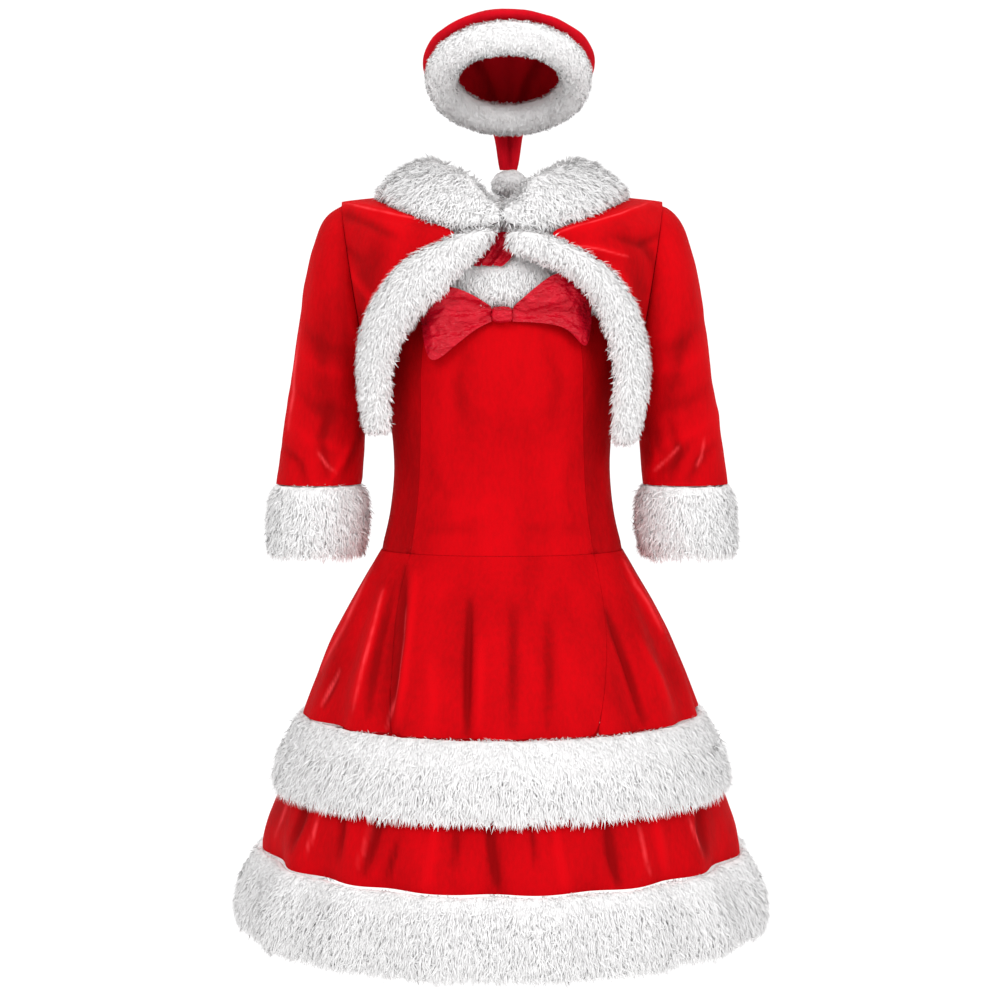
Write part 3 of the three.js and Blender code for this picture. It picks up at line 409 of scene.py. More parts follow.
# In each group: "front" and "back" are creases; the other lists of lines are painted light in the
# colour: broad painted shade and light, then thin painted highlights along creases.
# A cut is a flat width and height in metres, then its area where it is no rectangle
bodiceCloth = {
    # Painted shade: the bodice's side panels are painted darker than its front
    "paintedLight": {"bodice_side_left": 0.36, "bodice_side_right": 0.42, "bodice_front": 0.68},
    "levels": 2, "crumple": 0.5, "crumpleScale": 34,
    "paintedShading": [
        {"line": [(-82.8, -178.2), (-80.5, -270.2), (-88.5, -373.7)], "rise": -0.12, "width": 14},
        {"line": [(95.4, -201.2), (93.1, -281.8), (101.2, -373.7)], "rise": -0.12, "width": 14},
    ],
    "cuts": {
        "bodice_front": (0.2, 0.28), "bodice_side_left": (0.11, 0.26),
        "bodice_side_right": (0.11, 0.26), "bodice_back": (0.32, 0.25)},
    "front": [
        {"line": [(-41, -169), (-51, -210), (-41, -252)], "rise": -1.6, "width": 9},
        {"line": [(53, -164), (67, -208), (57, -252)], "rise": -1.6, "width": 9},
        {"line": [(-90, -365), (-60, -373), (-21, -368)], "rise": -1.3, "width": 5},
        {"line": [(30, -373), (67, -377), (99, -365)], "rise": -1.3, "width": 5},
        {"line": [(-71, -339), (-37, -351), (-2, -345)], "rise": 0.9, "width": 7},
        {"line": [(-83, -305), (-64, -330), (-71, -362)], "rise": -1, "width": 6},
        {"line": [(84, -288), (74, -328), (87, -365)], "rise": -1, "width": 6},
    ],
    "back": [
        {"line": [(-70, -330), (-30, -342), (20, -336)], "rise": -1.6, "width": 7},
        {"line": [(80, -352), (40, -366), (-10, -362)], "rise": 1.4, "width": 7},
        {"line": [(-95, -300), (-60, -316), (-25, -312)], "rise": -1.3, "width": 6},
        {"line": [(60, -240), (50, -280), (62, -318)], "rise": -1.2, "width": 8},
    ],
}
skirtCloth = {
    "seamDip": 0.1, "depth": 1.2, "crumple": 0.8, "crumpleScale": 30, "stretch": (1.3, 1.3, 0.6),
    "paintedShading": [
        {"line": [(-163.3, -442.7), (-186.3, -500.2), (-203.5, -557.8)], "rise": -0.25, "width": 14},
        {"line": [(-126.5, -442.7), (-144.9, -511.7), (-154.1, -586.5)], "rise": -0.12, "width": 10},
        {"line": [(158.7, -477.2), (187.4, -534.8), (204.7, -575.0)], "rise": -0.25, "width": 14},
        {"line": [(112.7, -442.7), (126.5, -523.2), (138.0, -592.2)], "rise": -0.15, "width": 9},
        {"line": [(-115.0, -420.9), (-117.3, -468.0), (-126.5, -503.7), (-135.7, -563.5),
                  (-140.3, -604.9)], "rise": -0.3, "width": 6},
        {"line": [(-37.9, -464.6), (-41.4, -534.8), (-39.1, -609.5)], "rise": -0.28, "width": 7},
    ],
    "paintedHighlight": [
        {"line": [(-136.8, -442.7), (-150.6, -500.2), (-163.3, -546.2), (-172.5, -583.0)]},
        {"line": [(-148.3, -412.8), (-161.0, -442.7), (-181.7, -486.4), (-209.3, -537.0)]},
        {"line": [(-188.6, -537.0), (-198.9, -555.4), (-209.3, -576.1)]},
        {"line": [(-111.5, -463.4), (-115.0, -500.2), (-120.7, -546.2), (-127.6, -583.0),
                  (-133.4, -603.8)]},
        {"line": [(139.1, -408.2), (151.8, -437.0), (167.9, -461.1), (184.0, -491.0)]},
    ],
    "cuts": {
        "skirt_front": (0.3, 0.22, 0.054), "skirt_side_left": (0.26, 0.2, 0.038),
        "skirt_side_right": (0.26, 0.2, 0.038), "skirt_back": (0.55, 0.2, 0.096)},
    "front": [
        {"line": [(-112, -415), (-117, -500), (-132, -604)], "rise": -3.4, "width": 4},
        {"line": [(-100, -425), (-107, -500), (-121, -601)], "rise": 2.6, "width": 4},
        {"line": [(-137, -443), (-151, -500), (-171, -572)], "rise": 2.8, "width": 5},
        {"line": [(-148, -420), (-177, -471), (-209, -532)], "rise": 2, "width": 4.5},
        {"line": [(-189, -537), (-207, -578)], "rise": -2.6, "width": 4},
        {"line": [(-126, -436), (-143, -512), (-156, -588)], "rise": -2.4, "width": 5},
        {"line": [(-37, -454), (-39, -523), (-41, -610)], "rise": -3.6, "width": 4},
        {"line": [(-25, -500), (-26, -569), (-28, -613)], "rise": 1.8, "width": 5},
        {"line": [(13, -461), (14, -523), (13, -606)], "rise": -2, "width": 6},
        {"line": [(53, -468), (54, -532), (54, -608)], "rise": -1.8, "width": 6},
        {"line": [(122, -470), (144, -532), (164, -597)], "rise": -3.8, "width": 4},
        {"line": [(139, -408), (159, -445), (186, -491)], "rise": 2.6, "width": 4.5},
        {"line": [(159, -500), (182, -546), (195, -583)], "rise": 2, "width": 5},
        {"line": [(-83, -523), (-80, -569), (-83, -613)], "rise": 1.6, "width": 7},
    ],
    "back": [
        {"line": [(-130, -430), (-141, -510), (-160, -570)], "rise": -3, "width": 6},
        {"line": [(-96, -420), (-104, -500), (-118, -572)], "rise": 2.6, "width": 6},
        {"line": [(-52, -450), (-58, -520), (-60, -574)], "rise": -2.6, "width": 6},
        {"line": [(-8, -425), (-6, -500), (-12, -574)], "rise": 2.2, "width": 7},
        {"line": [(34, -440), (40, -520), (38, -574)], "rise": -3, "width": 6},
        {"line": [(84, -420), (94, -500), (102, -572)], "rise": 2.4, "width": 6},
        {"line": [(126, -445), (140, -520), (154, -570)], "rise": -3, "width": 6},
    ],
}
ruffleCloth = {
    "levels": 2, "depth": 1.45, "crumple": 0.7, "crumpleScale": 22, "stretch": (1.4, 1.4, 0.6),
    "paintedShading": [
        {"line": [(-255.3, -672.8), (-264.5, -718.8)], "rise": -0.3, "width": 12},
        {"line": [(-220.8, -684.2), (-232.3, -741.7)], "rise": -0.22, "width": 9},
        {"line": [(-140.3, -701.5), (-151.8, -764.7)], "rise": -0.22, "width": 9},
        {"line": [(-8.0, -713.0), (-4.6, -787.7)], "rise": -0.25, "width": 9},
        {"line": [(124.2, -713.0), (133.4, -776.2)], "rise": -0.22, "width": 9},
        {"line": [(233.4, -684.2), (244.9, -741.7)], "rise": -0.25, "width": 10},
    ],
    "paintedHighlight": [
        {"line": [(-246.1, -684.2), (-254.1, -707.2), (-264.5, -732.5)]},
        {"line": [(-211.6, -698.0), (-218.5, -725.6), (-227.7, -748.6)]},
        {"line": [(-149.5, -704.9), (-156.4, -732.5), (-167.9, -762.4)]},
        {"line": [(216.2, -709.5), (227.7, -732.5), (234.6, -750.9)]},
        {"line": [(158.7, -718.8), (165.6, -748.6), (172.5, -776.2)]},
    ],
    "cuts": {"ruffle_front": (0.8, 0.13), "ruffle_back": (0.74, 0.13)},
    "front": [
        {"line": [(-221, -673), (-232, -707), (-246, -744)], "rise": -3.2, "width": 4.5},
        {"line": [(-183, -688), (-186, -723), (-191, -756)], "rise": -2.6, "width": 4},
        {"line": [(-137, -690), (-148, -730), (-161, -776)], "rise": -3.4, "width": 4.5},
        {"line": [(-120, -734), (-129, -759), (-135, -783)], "rise": -2.2, "width": 3.5},
        {"line": [(-76, -710), (-83, -753), (-90, -793)], "rise": 2.2, "width": 5},
        {"line": [(-16, -712), (-12, -753), (-5, -790)], "rise": -3.4, "width": 4.5},
        {"line": [(61, -714), (67, -753), (74, -795)], "rise": 2.2, "width": 5},
        {"line": [(122, -716), (126, -753), (136, -789)], "rise": -3.4, "width": 4.5},
        {"line": [(176, -702), (184, -736), (191, -779)], "rise": 2.2, "width": 5},
        {"line": [(228, -693), (231, -724), (240, -754)], "rise": -3.2, "width": 4.5},
        {"line": [(-52, -714), (-53, -742), (-57, -767)], "rise": -2, "width": 4},
        {"line": [(32, -714), (37, -742), (39, -767)], "rise": -2, "width": 4},
    ],
    "back": [
        {"line": [(-200, -670), (-206, -700), (-214, -728)], "rise": -2.8, "width": 5},
        {"line": [(-120, -670), (-128, -700), (-130, -728)], "rise": -2.8, "width": 5},
        {"line": [(-60, -672), (-62, -700), (-70, -730)], "rise": 2.2, "width": 5},
        {"line": [(5, -670), (2, -700), (8, -730)], "rise": -3, "width": 5},
        {"line": [(88, -670), (92, -700), (90, -730)], "rise": -2.6, "width": 5},
        {"line": [(160, -670), (166, -700), (172, -730)], "rise": 2.2, "width": 5},
    ],
}
shrugCloth = {
    "highlightWidth": 0.9, "crumple": 1.1, "crumpleScale": 30,
    "paintedShading": [
        {"line": [(-134.5, -40.2), (-157.5, -86.2), (-163.3, -143.8)], "rise": -0.3, "width": 14},
        {"line": [(-169.0, -11.5), (-134.5, -23.0), (-105.8, -34.5)], "rise": 0.15, "width": 10},
        {"line": [(141.4, -51.7), (158.7, -97.7), (164.4, -166.8)], "rise": -0.3, "width": 14},
        {"line": [(-186.3, -28.7), (-197.8, -74.8)], "rise": -0.2, "width": 12},
    ],
    "paintedHighlight": [
        {"line": [(-180.5, 0.0), (-149.5, -8.0), (-117.3, -14.9), (-82.8, -19.5)]},
        {"line": [(-101.2, -60.9), (-128.8, -77.0), (-149.5, -106.9), (-147.2, -116.1)]},
        {"line": [(170.2, 1.1), (135.7, -12.6), (95.4, -24.1), (57.5, -35.6)]},
        {"line": [(80.5, -47.1), (112.7, -52.9), (143.8, -60.9)]},
        {"line": [(117.3, -67.8), (135.7, -86.2), (151.8, -111.5)]},
        {"line": [(-147.2, -109.2), (-147.2, -125.3)]},
    ],
    "cuts": {
        "shrug_front_left": (0.16, 0.2, 0.018), "shrug_front_right": (0.16, 0.2, 0.018),
        "shrug_back": (0.42, 0.22, 0.08)},
    "front": [
        {"line": [(-181, 2), (-150, -6), (-117, -14), (-83, -17)], "rise": 2.2, "width": 5},
        {"line": [(-189, -10), (-152, -23), (-122, -38)], "rise": -2.6, "width": 6},
        {"line": [(-198, -66), (-172, -80), (-150, -109), (-156, -148)], "rise": 2.6, "width": 5},
        {"line": [(-186, -100), (-166, -128), (-172, -169)], "rise": -3, "width": 6},
        {"line": [(-214, -105), (-198, -155), (-202, -206)], "rise": -2.4, "width": 6},
        {"line": [(-207, -40), (-186, -47), (-161, -66)], "rise": -2.2, "width": 6},
        {"line": [(170, 1), (136, -13), (95, -26), (57, -32)], "rise": 2.2, "width": 4.5},
        {"line": [(84, -49), (113, -52), (141, -60)], "rise": 2.2, "width": 4.5},
        {"line": [(118, -69), (136, -86), (152, -112)], "rise": 2.2, "width": 4.5},
        {"line": [(159, -40), (176, -66), (182, -102)], "rise": -3, "width": 6},
        {"line": [(198, -52), (191, -100), (200, -151)], "rise": -2.4, "width": 6},
        {"line": [(170, -109), (186, -161), (179, -215)], "rise": 2, "width": 5},
        {"line": [(126, -36), (159, -47), (191, -31)], "rise": -2.2, "width": 5},
    ],
    "back": [
        {"line": [(-150, -60), (-120, -110), (-125, -170)], "rise": -2.6, "width": 8},
        {"line": [(-170, -90), (-145, -130), (-150, -180)], "rise": 2.2, "width": 7},
        {"line": [(-60, -80), (-50, -130), (-56, -190)], "rise": 1.8, "width": 9},
        {"line": [(10, -70), (16, -130), (8, -200)], "rise": -1.8, "width": 9},
        {"line": [(150, -50), (124, -100), (130, -165)], "rise": -2.6, "width": 8},
        {"line": [(172, -100), (150, -140), (152, -185)], "rise": 2.2, "width": 7},
        {"line": [(70, -75), (64, -125), (74, -190)], "rise": 1.6, "width": 9},
    ],
}
sleeveCloth = {
    "levels": 3, "crumple": 1.3, "crumpleScale": 30,
    "paintedShading": [
        {"line": [(-197.8, -109.2), (-207.0, -166.8), (-203.5, -224.2), (-192.0, -270.2)],
         "rise": -0.32, "width": 12},
        {"line": [(-232.3, -97.7), (-242.6, -189.7), (-247.2, -276.0)], "rise": 0.2, "width": 9},
        {"line": [(-174.8, -23.0), (-180.5, -109.2), (-177.1, -189.7), (-170.2, -247.2)],
         "rise": -0.28, "width": 12},
        {"line": [(-161.0, -253.0), (-172.5, -284.0), (-184.0, -310.5)], "rise": -0.42, "width": 6},
        {"line": [(208.1, -143.8), (198.9, -189.7), (190.9, -230.0)], "rise": -0.38, "width": 9},
        {"line": [(167.9, -253.0), (175.9, -270.2), (172.5, -290.9)], "rise": -0.5, "width": 9},
        {"line": [(227.7, -63.2), (236.9, -166.8), (246.1, -281.8)], "rise": 0.2, "width": 12},
        {"line": [(170.2, -40.2), (172.5, -109.2), (167.9, -178.2)], "rise": -0.25, "width": 12},
        {"line": [(216.2, -270.2), (207.0, -287.5), (181.7, -310.5)], "rise": -0.3, "width": 5},
    ],
    "paintedHighlight": [
        {"line": [(-231.1, -139.1), (-235.7, -178.2), (-240.3, -221.9), (-244.9, -258.8)]},
        {"line": [(-211.6, -284.0), (-200.1, -300.1), (-190.9, -307.0)]},
        {"line": [(203.5, -277.1), (190.9, -290.9), (175.9, -304.8)]},
        {"line": [(232.3, -270.2), (230.0, -288.6), (224.2, -300.1)]},
    ],
    "cuts": {"sleeve_left": (0.36, 0.27, 0.078), "sleeve_right": (0.36, 0.27, 0.078)},
    "front": [
        {"line": [(-232, -139), (-207, -164), (-177, -171)], "rise": -1.5, "width": 8},
        {"line": [(-235, -167), (-209, -190), (-175, -194)], "rise": 1.2, "width": 7},
        {"line": [(-241, -208), (-216, -233), (-175, -240)], "rise": -1.5, "width": 8},
        {"line": [(-246, -247), (-223, -270), (-182, -279)], "rise": 1.3, "width": 7},
        {"line": [(-195, -230), (-207, -270), (-198, -319)], "rise": -3, "width": 6},
        {"line": [(-170, -268), (-184, -296), (-202, -325)], "rise": 2.4, "width": 5},
        {"line": [(-251, -277), (-232, -298), (-225, -323)], "rise": -2.6, "width": 5},
        {"line": [(230, -135), (207, -160), (175, -169)], "rise": -1.5, "width": 8},
        {"line": [(235, -167), (209, -187), (172, -192)], "rise": 1.2, "width": 7},
        {"line": [(240, -206), (214, -227), (175, -236)], "rise": -1.5, "width": 8},
        {"line": [(246, -240), (221, -263), (179, -273)], "rise": 1.3, "width": 7},
        {"line": [(191, -247), (202, -282), (193, -314)], "rise": -3, "width": 6},
        {"line": [(244, -275), (225, -296), (216, -316)], "rise": -2.6, "width": 5},
        {"line": [(170, -259), (177, -289), (172, -309)], "rise": 2.2, "width": 5},
    ],
    "back": [
        {"line": [(-225, -120), (-200, -150), (-170, -158)], "rise": -3.4, "width": 8},
        {"line": [(-238, -190), (-214, -212), (-176, -222)], "rise": -3.4, "width": 8},
        {"line": [(-246, -240), (-220, -256), (-180, -268)], "rise": 2.6, "width": 7},
        {"line": [(-200, -250), (-208, -286), (-200, -318)], "rise": -2.6, "width": 7},
        {"line": [(228, -130), (204, -156), (172, -162)], "rise": -3.4, "width": 8},
        {"line": [(240, -196), (212, -220), (176, -226)], "rise": -3.4, "width": 8},
        {"line": [(246, -236), (222, -258), (182, -262)], "rise": 2.6, "width": 7},
        {"line": [(196, -256), (206, -288), (198, -318)], "rise": -2.6, "width": 7},
    ],
}
hatCloth = {
    "levels": 2, "crumple": 1.0, "crumpleScale": 26, "wall": 1.6, "rimEdge": 2.05,
    "cuts": {"hat_crown": (0.5, 0.3, 0.063)},
    "front": [
        {"line": [(9, 96), (8, 70), (9, 40)], "rise": -2.4, "width": 2.6},
        {"line": [(-6, 92), (-3, 66), (2, 44)], "rise": 1.2, "width": 3},
        {"line": [(20, 92), (18, 66), (15, 44)], "rise": 1.2, "width": 3},
        {"line": [(-70, 196), (-60, 212), (-42, 222)], "rise": -1.2, "width": 4},
        {"line": [(76, 200), (60, 216), (40, 224)], "rise": -1.2, "width": 4},
    ],
    "back": [
        {"line": [(8, 130), (10, 100), (9, 60)], "rise": -2.6, "width": 5},
        {"line": [(-50, 190), (-24, 160), (-8, 120)], "rise": -3, "width": 6},
        {"line": [(62, 192), (36, 158), (20, 120)], "rise": -3, "width": 6},
        {"line": [(-20, 205), (-6, 170), (0, 130)], "rise": 2.4, "width": 7},
        {"line": [(34, 206), (22, 172), (16, 130)], "rise": 2.4, "width": 7},
    ],
}
satinCloth = {
    "levels": 3, "depth": 1.4, "crumple": 1.7, "crumpleScale": 8, "wall": 1.5, "rimEdge": 1.9,
    "seamDip": 0.0,
    "cuts": {
        "bow_loop_left": (0.09, 0.08, 0.0054), "bow_loop_right": (0.09, 0.08, 0.0055),
        "neck_tie": (0.03, 0.045)},
    "front": [
        {"line": [(-14, -120), (-45, -112), (-84, -112)], "rise": -2, "width": 4},
        {"line": [(-14, -126), (-50, -130), (-88, -124)], "rise": 2, "width": 4},
        {"line": [(-14, -130), (-50, -146), (-86, -146)], "rise": -2.2, "width": 4},
        {"line": [(-14, -134), (-44, -158), (-80, -168)], "rise": 2, "width": 4},
        {"line": [(14, -120), (40, -98), (66, -88)], "rise": -2, "width": 4},
        {"line": [(14, -124), (50, -112), (90, -104)], "rise": 2.2, "width": 4},
        {"line": [(14, -128), (52, -126), (96, -122)], "rise": -2.2, "width": 4},
        {"line": [(14, -132), (50, -138), (92, -148)], "rise": 2, "width": 4},
    ],
    "back": [],
}

clothGroups = [
    ("bodice", bodiceCloth, velvet, "velvet", "draped"),
    ("skirt", skirtCloth, velvet, "velvet", "draped"),
    ("ruffle", ruffleCloth, velvet, "velvet", "gathered"),
    ("shrug", shrugCloth, velvet, "velvet", "draped"),
    ("sleeve", sleeveCloth, velvet, "velvet", "draped"),
    ("hat crown", hatCloth, litHatVelvet, "hat_velvet", "draped"),
    ("satin", satinCloth, satin, "satin", "gathered"),
]
coarser = {"skirt_back": 2, "shrug_back": 2}
for title, group, material, slot, held in clothGroups:
    for number, (node, cut) in enumerate(group["cuts"].items()):
        settings = {**clothForm, **group, "seed": number + 1}
        settings["levels"] = coarser.get(node, settings["levels"])
        panel = clothPiece(node, settings, material)
        area = sum(f.area for f in panel.data.polygons) / 2
        print(f"{title}: {panel.name} {len(panel.data.polygons)} faces, {area:.4f} m2")


# The bow's knot: a padded band of satin
knotPad = {
    "levels": 3, "crumple": 1.1, "crumpleScale": 6, "stretch": (0.5, 1, 1.4), "seed": 4,
    "smooth": 70, "fill": 0.7,
}


def makeKnot():
    piece = copyOf("bow_knot", "bow_knot_pad")
    applyModifier(piece, "SUBSURF", levels=knotPad["levels"], render_levels=knotPad["levels"])
    points, normals = readPoints(piece.data)
    folds = softNoise(points * knotPad["stretch"], knotPad["crumpleScale"], knotPad["seed"])
    writePoints(piece.data, points + normals * (knotPad["crumple"] * folds)[:, None])
    bpy.ops.object.shade_smooth_by_angle(angle=math.radians(knotPad["smooth"]))
    piece.data.materials.append(satin)
    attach(piece, "root")
    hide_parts("bow_knot")


makeKnot()
print("bow tied")


# Fur: a backing with soft tufts, and bent strands that gather into locks. Lengths are in
# millimetres, lift is the slope off the backing and comb is the way the strands lie
furPieces = {
    "top_trim_front": {"count": 9000, "length": 12, "lift": 0.42, "comb": "down"},
    "top_trim_back": {"count": 5000, "length": 12, "lift": 0.42, "comb": "down"},
    "skirt_fur_front": {"count": 26000, "length": 16, "lift": 0.36, "comb": "down"},
    "skirt_fur_back": {"count": 13000, "length": 16, "lift": 0.36, "comb": "down"},
    "hem_fur_front": {"count": 32000, "length": 14, "lift": 0.38, "comb": "down"},
    "hem_fur_back": {"count": 16000, "length": 16, "lift": 0.38, "comb": "down"},
    "cuff_fur_left": {"count": 12000, "length": 14, "lift": 0.4, "comb": "cuff"},
    "cuff_fur_right": {"count": 12000, "length": 14, "lift": 0.4, "comb": "cuff"},
    "collar_left": {"count": 15000, "length": 13, "lift": 0.45, "comb": "neck"},
    "collar_right": {"count": 15000, "length": 13, "lift": 0.45, "comb": "neck"},
    "edge_fur_left": {"count": 11000, "length": 9.5, "lift": 0.45, "comb": "strip"},
    "edge_fur_right": {"count": 11000, "length": 9.5, "lift": 0.45, "comb": "strip"},
    "edge_fur_back": {"count": 6000, "length": 13, "lift": 0.4, "comb": "down"},
    "hat_band": {"count": 17000, "length": 6, "lift": 0.45, "comb": "hat", "fill": 0.8},
    "hat_pompom": {"count": 3500, "length": 6, "lift": 0.5, "comb": "down", "fill": 0.8},
}
# How each backing is refined, drawn in under its fur and raised in tufts, in millimetres, shares and
# degrees
backingForm = {
    "levels": 2, "inset": 1.8, "insetShare": 0.2, "upFade": 1.3, "outFade": 1.6,
    "tuft": 1.3, "tuftScale": 9, "tuftSeed": 9, "smooth": 80,
}
strandForm = {
    "insideFacing": -0.35, "insideShare": 0.03, "stray": 0.5, "tiny": 1e-6,
    "liftSpread": 0.14, "liftRange": (0.08, 0.95), "shortest": 0.6, "lengthSpread": 0.62,
    "topFacing": 0.35, "topLength": 0.45, "clumpEvery": 14, "clump": 0.34, "clumpSpread": 1.6,
    "sag": 0.06, "bendRoot": 0.55, "bendTip": 0.45, "bendRise": 0.1,
    "width": 1.3, "narrowest": 0.35, "widthSpread": 0.3,
    "normalUp": 0.8, "normalAlong": 0.15, "normalSpread": 0.16,
    "darkest": 0.82, "toneSpread": 0.18, "rootShade": (0.6, 0.9, 0.9, 1.0),
}
combs = {
    "neckFall": 0.45, "stripSpread": 0.8, "stripInward": -0.3, "hatFall": 0.5, "hatLift": 0.2,
    "bandSpread": 0.5,
}


def unit(vectors, tiny=0.0):
    return vectors / (np.linalg.norm(vectors, axis=1)[:, None] + tiny)


def dot(first, second):
    return (first * second).sum(1)


# The middle that a wrapped piece goes round: the body's upright axis, or a cuff's own middle
def wrapMiddle(kind, points):
    return (points.min(0) + points.max(0)) / 2 if kind == "cuff" else 0


# Unit vectors in plan, pointing away from the upright line through a middle
def outFrom(points, middle):
    return unit((points - middle) * (1, 1, 0))


def combWay(kind, points, normals):
    down = np.zeros_like(points)
    down[:, 2] = -1
    if kind == "neck":
        return outFrom(points, 0) + combs["neckFall"] * down
    if kind == "strip":
        side = np.sign(points[:, 0])
        away = np.zeros_like(points)
        away[:, 0] = side * np.clip(normals[:, 0] * side, combs["stripInward"], 1)
        return combs["stripSpread"] * away + down
    if kind == "hat":
        return combs["hatFall"] * down + combs["hatLift"] * normals
    return down + combs["bandSpread"] * outFrom(points, wrapMiddle(kind, points))


# The solid, drawn in under its fur and raised in tufts; it keeps its place on top and inside
def makeBacking(node, settings, wraps):
    form = backingForm
    backing = copyOf(node, node + "_backing")
    applyModifier(backing, "SUBSURF", levels=form["levels"], render_levels=form["levels"])
    points, normals = readPoints(backing.data)
    inset = min(form["inset"], settings["length"] * form["insetShare"])
    tufts = form["tuft"] * softNoise(points, form["tuftScale"], form["tuftSeed"])
    inset = inset * np.clip(1 - form["upFade"] * normals[:, 2], 0, 1)
    if wraps:
        out = outFrom(points, wrapMiddle(settings["comb"], points))
        inset *= np.clip(form["outFade"] * dot(normals, out), 0, 1)
    writePoints(backing.data, points + normals * (tufts - inset)[:, None])
    bpy.ops.object.shade_smooth_by_angle(angle=math.radians(form["smooth"]))
    backing.data.materials.append(furBacking)
    return backing


# Points spread evenly over a mesh, few of them on a band's inner face, and the normals there
def seatStrands(mesh, settings, wraps, rng):
    count = settings["count"]
    points, normals = readPoints(mesh)
    mesh.calc_loop_triangles()
    corners = np.empty(len(mesh.loop_triangles) * 3, np.int32)
    mesh.loop_triangles.foreach_get("vertices", corners)
    corners = corners.reshape(-1, 3)
    a, b, c = (points[corners[:, i]] for i in range(3))
    area = np.linalg.norm(np.cross(b - a, c - a), axis=1) / 2
    if wraps and "fill" not in settings:
        out = outFrom((a + b + c) / 3, wrapMiddle(settings["comb"], points))
        outward = dot(normals[corners[:, 0]], out)
        area = area * np.where(
            outward > strandForm["insideFacing"], 1, strandForm["insideShare"])
    chosen = rng.choice(len(area), count, p=area / area.sum())
    mix = rng.random((count, 2))
    flip = mix.sum(1) > 1
    mix[flip] = 1 - mix[flip]
    u, v = mix[:, :1], mix[:, 1:]
    root = a[chosen] * (1 - u - v) + b[chosen] * u + c[chosen] * v
    corner = normals[corners[chosen]]
    return root, unit(corner[:, 0] * (1 - u - v) + corner[:, 1] * u + corner[:, 2] * v)


# Draws each strand's tip towards that of the nearest lock
def gatherLocks(root, tip, rng):
    count = len(root)
    centres = rng.choice(count, max(count // strandForm["clumpEvery"], 1), replace=False)
    tree = KDTree(len(centres))
    for i, k in enumerate(centres):
        tree.insert(root[k], i)
    tree.balance()
    nearest = centres[np.array([tree.find(p)[1] for p in root])]
    share = strandForm["clump"] * rng.random((count, 1))
    return tip + (tip[nearest] - tip) * share * strandForm["clumpSpread"]


# Four points a strand (its root, the two sides of its bend and its tip), normals, and tones that
# differ at random with painted shade towards the root
def growStrands(root, normal, settings, wraps, rng):
    form = strandForm
    count = len(root)
    comb = combWay(settings["comb"], root, normal)
    comb = comb + form["stray"] * rng.standard_normal((count, 3))
    comb -= dot(comb, normal)[:, None] * normal
    comb = unit(comb, form["tiny"])
    lift = settings["lift"] + form["liftSpread"] * rng.standard_normal(count)
    lift = np.clip(lift, *form["liftRange"])[:, None]
    way = comb * np.sqrt(1 - lift ** 2) + normal * lift
    uneven = form["shortest"] + form["lengthSpread"] * rng.random(count)
    length = settings["length"] * uneven[:, None]
    if wraps:
        length *= np.where(normal[:, 2:] > form["topFacing"], form["topLength"], 1)
    tip = gatherLocks(root, root + way * length, rng)
    tip[:, 2] -= form["sag"] * settings["length"]
    bend = root * form["bendRoot"] + tip * form["bendTip"] + normal * length * form["bendRise"]
    side = unit(np.cross(normal, tip - root), form["tiny"])
    widths = form["narrowest"] + form["widthSpread"] * rng.random(count)
    half = side * form["width"] * widths[:, None]
    shape = np.stack([root, bend - half, bend + half, tip], 1)
    soft = normal * form["normalUp"] + way * form["normalAlong"]
    soft = unit(soft + form["normalSpread"] * rng.standard_normal((count, 3)))
    # Tones differ at random per strand, with painted shade darker towards the root
    tonesAndRootShade = form["darkest"] + form["toneSpread"] * rng.random((count, 1))
    return shape.reshape(-1, 3), np.repeat(soft, 4, axis=0), tonesAndRootShade * np.array([form["rootShade"]])


def makeFur(node, settings):
    rng = np.random.default_rng(len(node) * 31 + sum(map(ord, node)))
    wraps = settings["comb"] in ("down", "cuff")
    backing = makeBacking(node, settings, wraps)
    root, normal = seatStrands(backing.data, settings, wraps, rng)
    points, soft, tonesAndRootShade = growStrands(root, normal, settings, wraps, rng)
    start = (np.arange(len(root)) * 4)[:, None]
    faces = np.concatenate([start + (0, 1, 2), start + (1, 3, 2)], 1).reshape(-1, 3)
    strands = bpy.data.meshes.new(node + "_strands")
    strands.from_pydata((points * mm).tolist(), [], faces.tolist())
    strands.shade_smooth()
    strands.normals_split_custom_set_from_vertices(soft.tolist())
    paint(strands, "toneAndRootShade", tonesAndRootShade.ravel())
    piece = bpy.data.objects.new(node + "_strands", strands)
    bpy.context.scene.collection.objects.link(piece)
    piece.data.materials.append(furStrands)
    for part in (backing, piece):
        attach(part, "root")
    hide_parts(node)
    "fill" in settings
    area = sum(f.area for f in backing.data.polygons) / 2
    print(f"fur: {node}, {len(root)} strands over {area:.4f} m2")


for node, settings in furPieces.items():
    makeFur(node, settings)


# Floor, light and camera
studio = {
    "floor": -1.25, "width": 16, "paper": (0.33, 0.35), "speck": 3, "paperRoughness": 0.9,
    "paperGlow": 0.76, "lampSize": 1.4, "lampAim": (0, 0, -0.35), "ambient": 0.86,
    "camera": (0, -2.6, -0.17), "aim": (-0.0023, 0, -0.339), "lens": 81.6,
}
lamps = {
    "keyLight": ((-1.1, -2.5, 1.4), 41), "fillLight": ((1.7, -2.3, 0.9), 31),
    "topLight": ((0.2, 0.2, 2.2), 12),
}
plainWhite = (1, 1, 1, 1)


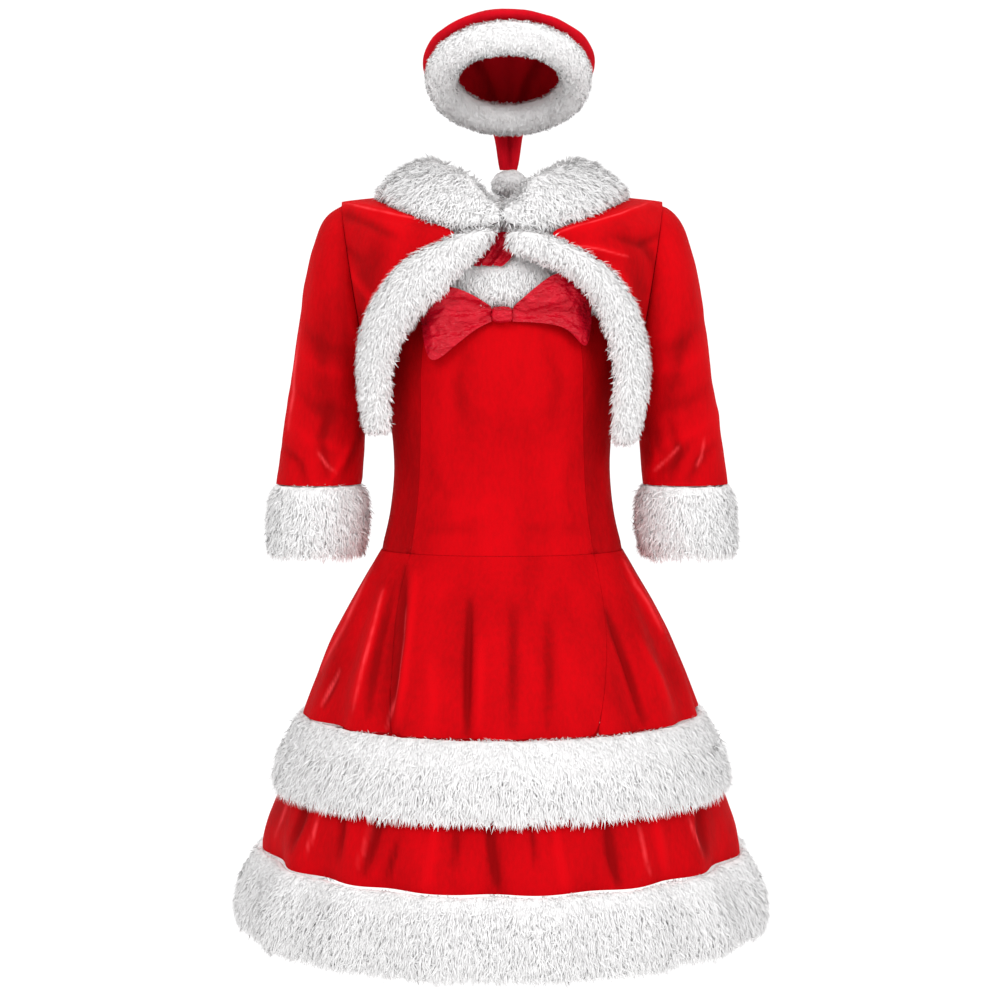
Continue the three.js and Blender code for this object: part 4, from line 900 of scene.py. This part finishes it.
def turnedTo(place, target):
    return (Vector(target) - Vector(place)).to_track_quat("-Z", "Y").to_euler()


# A plain sheet whose back edge turns up into a wall
def makeStudio():
    bpy.ops.mesh.primitive_plane_add(size=studio["width"], location=(0, 0, studio["floor"]))
    floor = bpy.context.object
    floor.name = "studioFloor"
    bpy.ops.object.mode_set(mode="EDIT")
    bpy.ops.mesh.select_all(action="DESELECT")
    work = bmesh.from_edit_mesh(floor.data)
    for edge in work.edges:
        edge.select_set(all(v.co.y > 0 for v in edge.verts))
    bmesh.update_edit_mesh(floor.data)
    wall = (0, 0, studio["width"] / 2)
    bpy.ops.mesh.extrude_region_move(TRANSFORM_OT_translate={"value": wall})
    bpy.ops.object.mode_set(mode="OBJECT")
    paper = Finish("studioPaper")
    darker, lighter = ((shade, shade, shade, 1) for shade in studio["paper"])
    speck = paper.grain(studio["speck"], detail=1)
    paper.set(Base_Color=paper.blend(speck, darker, lighter), Roughness=studio["paperRoughness"])
    paper.set(Emission_Color=plainWhite, Emission_Strength=studio["paperGlow"])
    floor.data.materials.append(paper.material)


def addLamp(name, place, power):
    bpy.ops.object.light_add(type="AREA", location=place)
    lamp = bpy.context.object
    lamp.name = name
    lamp.data.size = studio["lampSize"]
    lamp.data.energy = power
    lamp.rotation_euler = turnedTo(place, studio["lampAim"])


def addWorld():
    world = bpy.data.worlds.new("studioWorld")
    world.use_nodes = True
    sky = world.node_tree.nodes["Background"].inputs
    sky["Color"].default_value = plainWhite
    sky["Strength"].default_value = studio["ambient"]
    bpy.context.scene.world = world


def addCamera():
    cameraData = bpy.data.cameras.new("frontCamera")
    cameraData.lens = studio["lens"]
    camera = bpy.data.objects.new("frontCamera", cameraData)
    bpy.context.scene.collection.objects.link(camera)
    camera.location = studio["camera"]
    camera.rotation_euler = turnedTo(studio["camera"], studio["aim"])
    bpy.context.scene.camera = camera


bpy.context.scene.view_settings.view_transform = "Standard"
makeStudio()
for name, (place, power) in lamps.items():
    addLamp(name, place, power)
addWorld()
addCamera()
print("studio lit")

print("costume dressed")
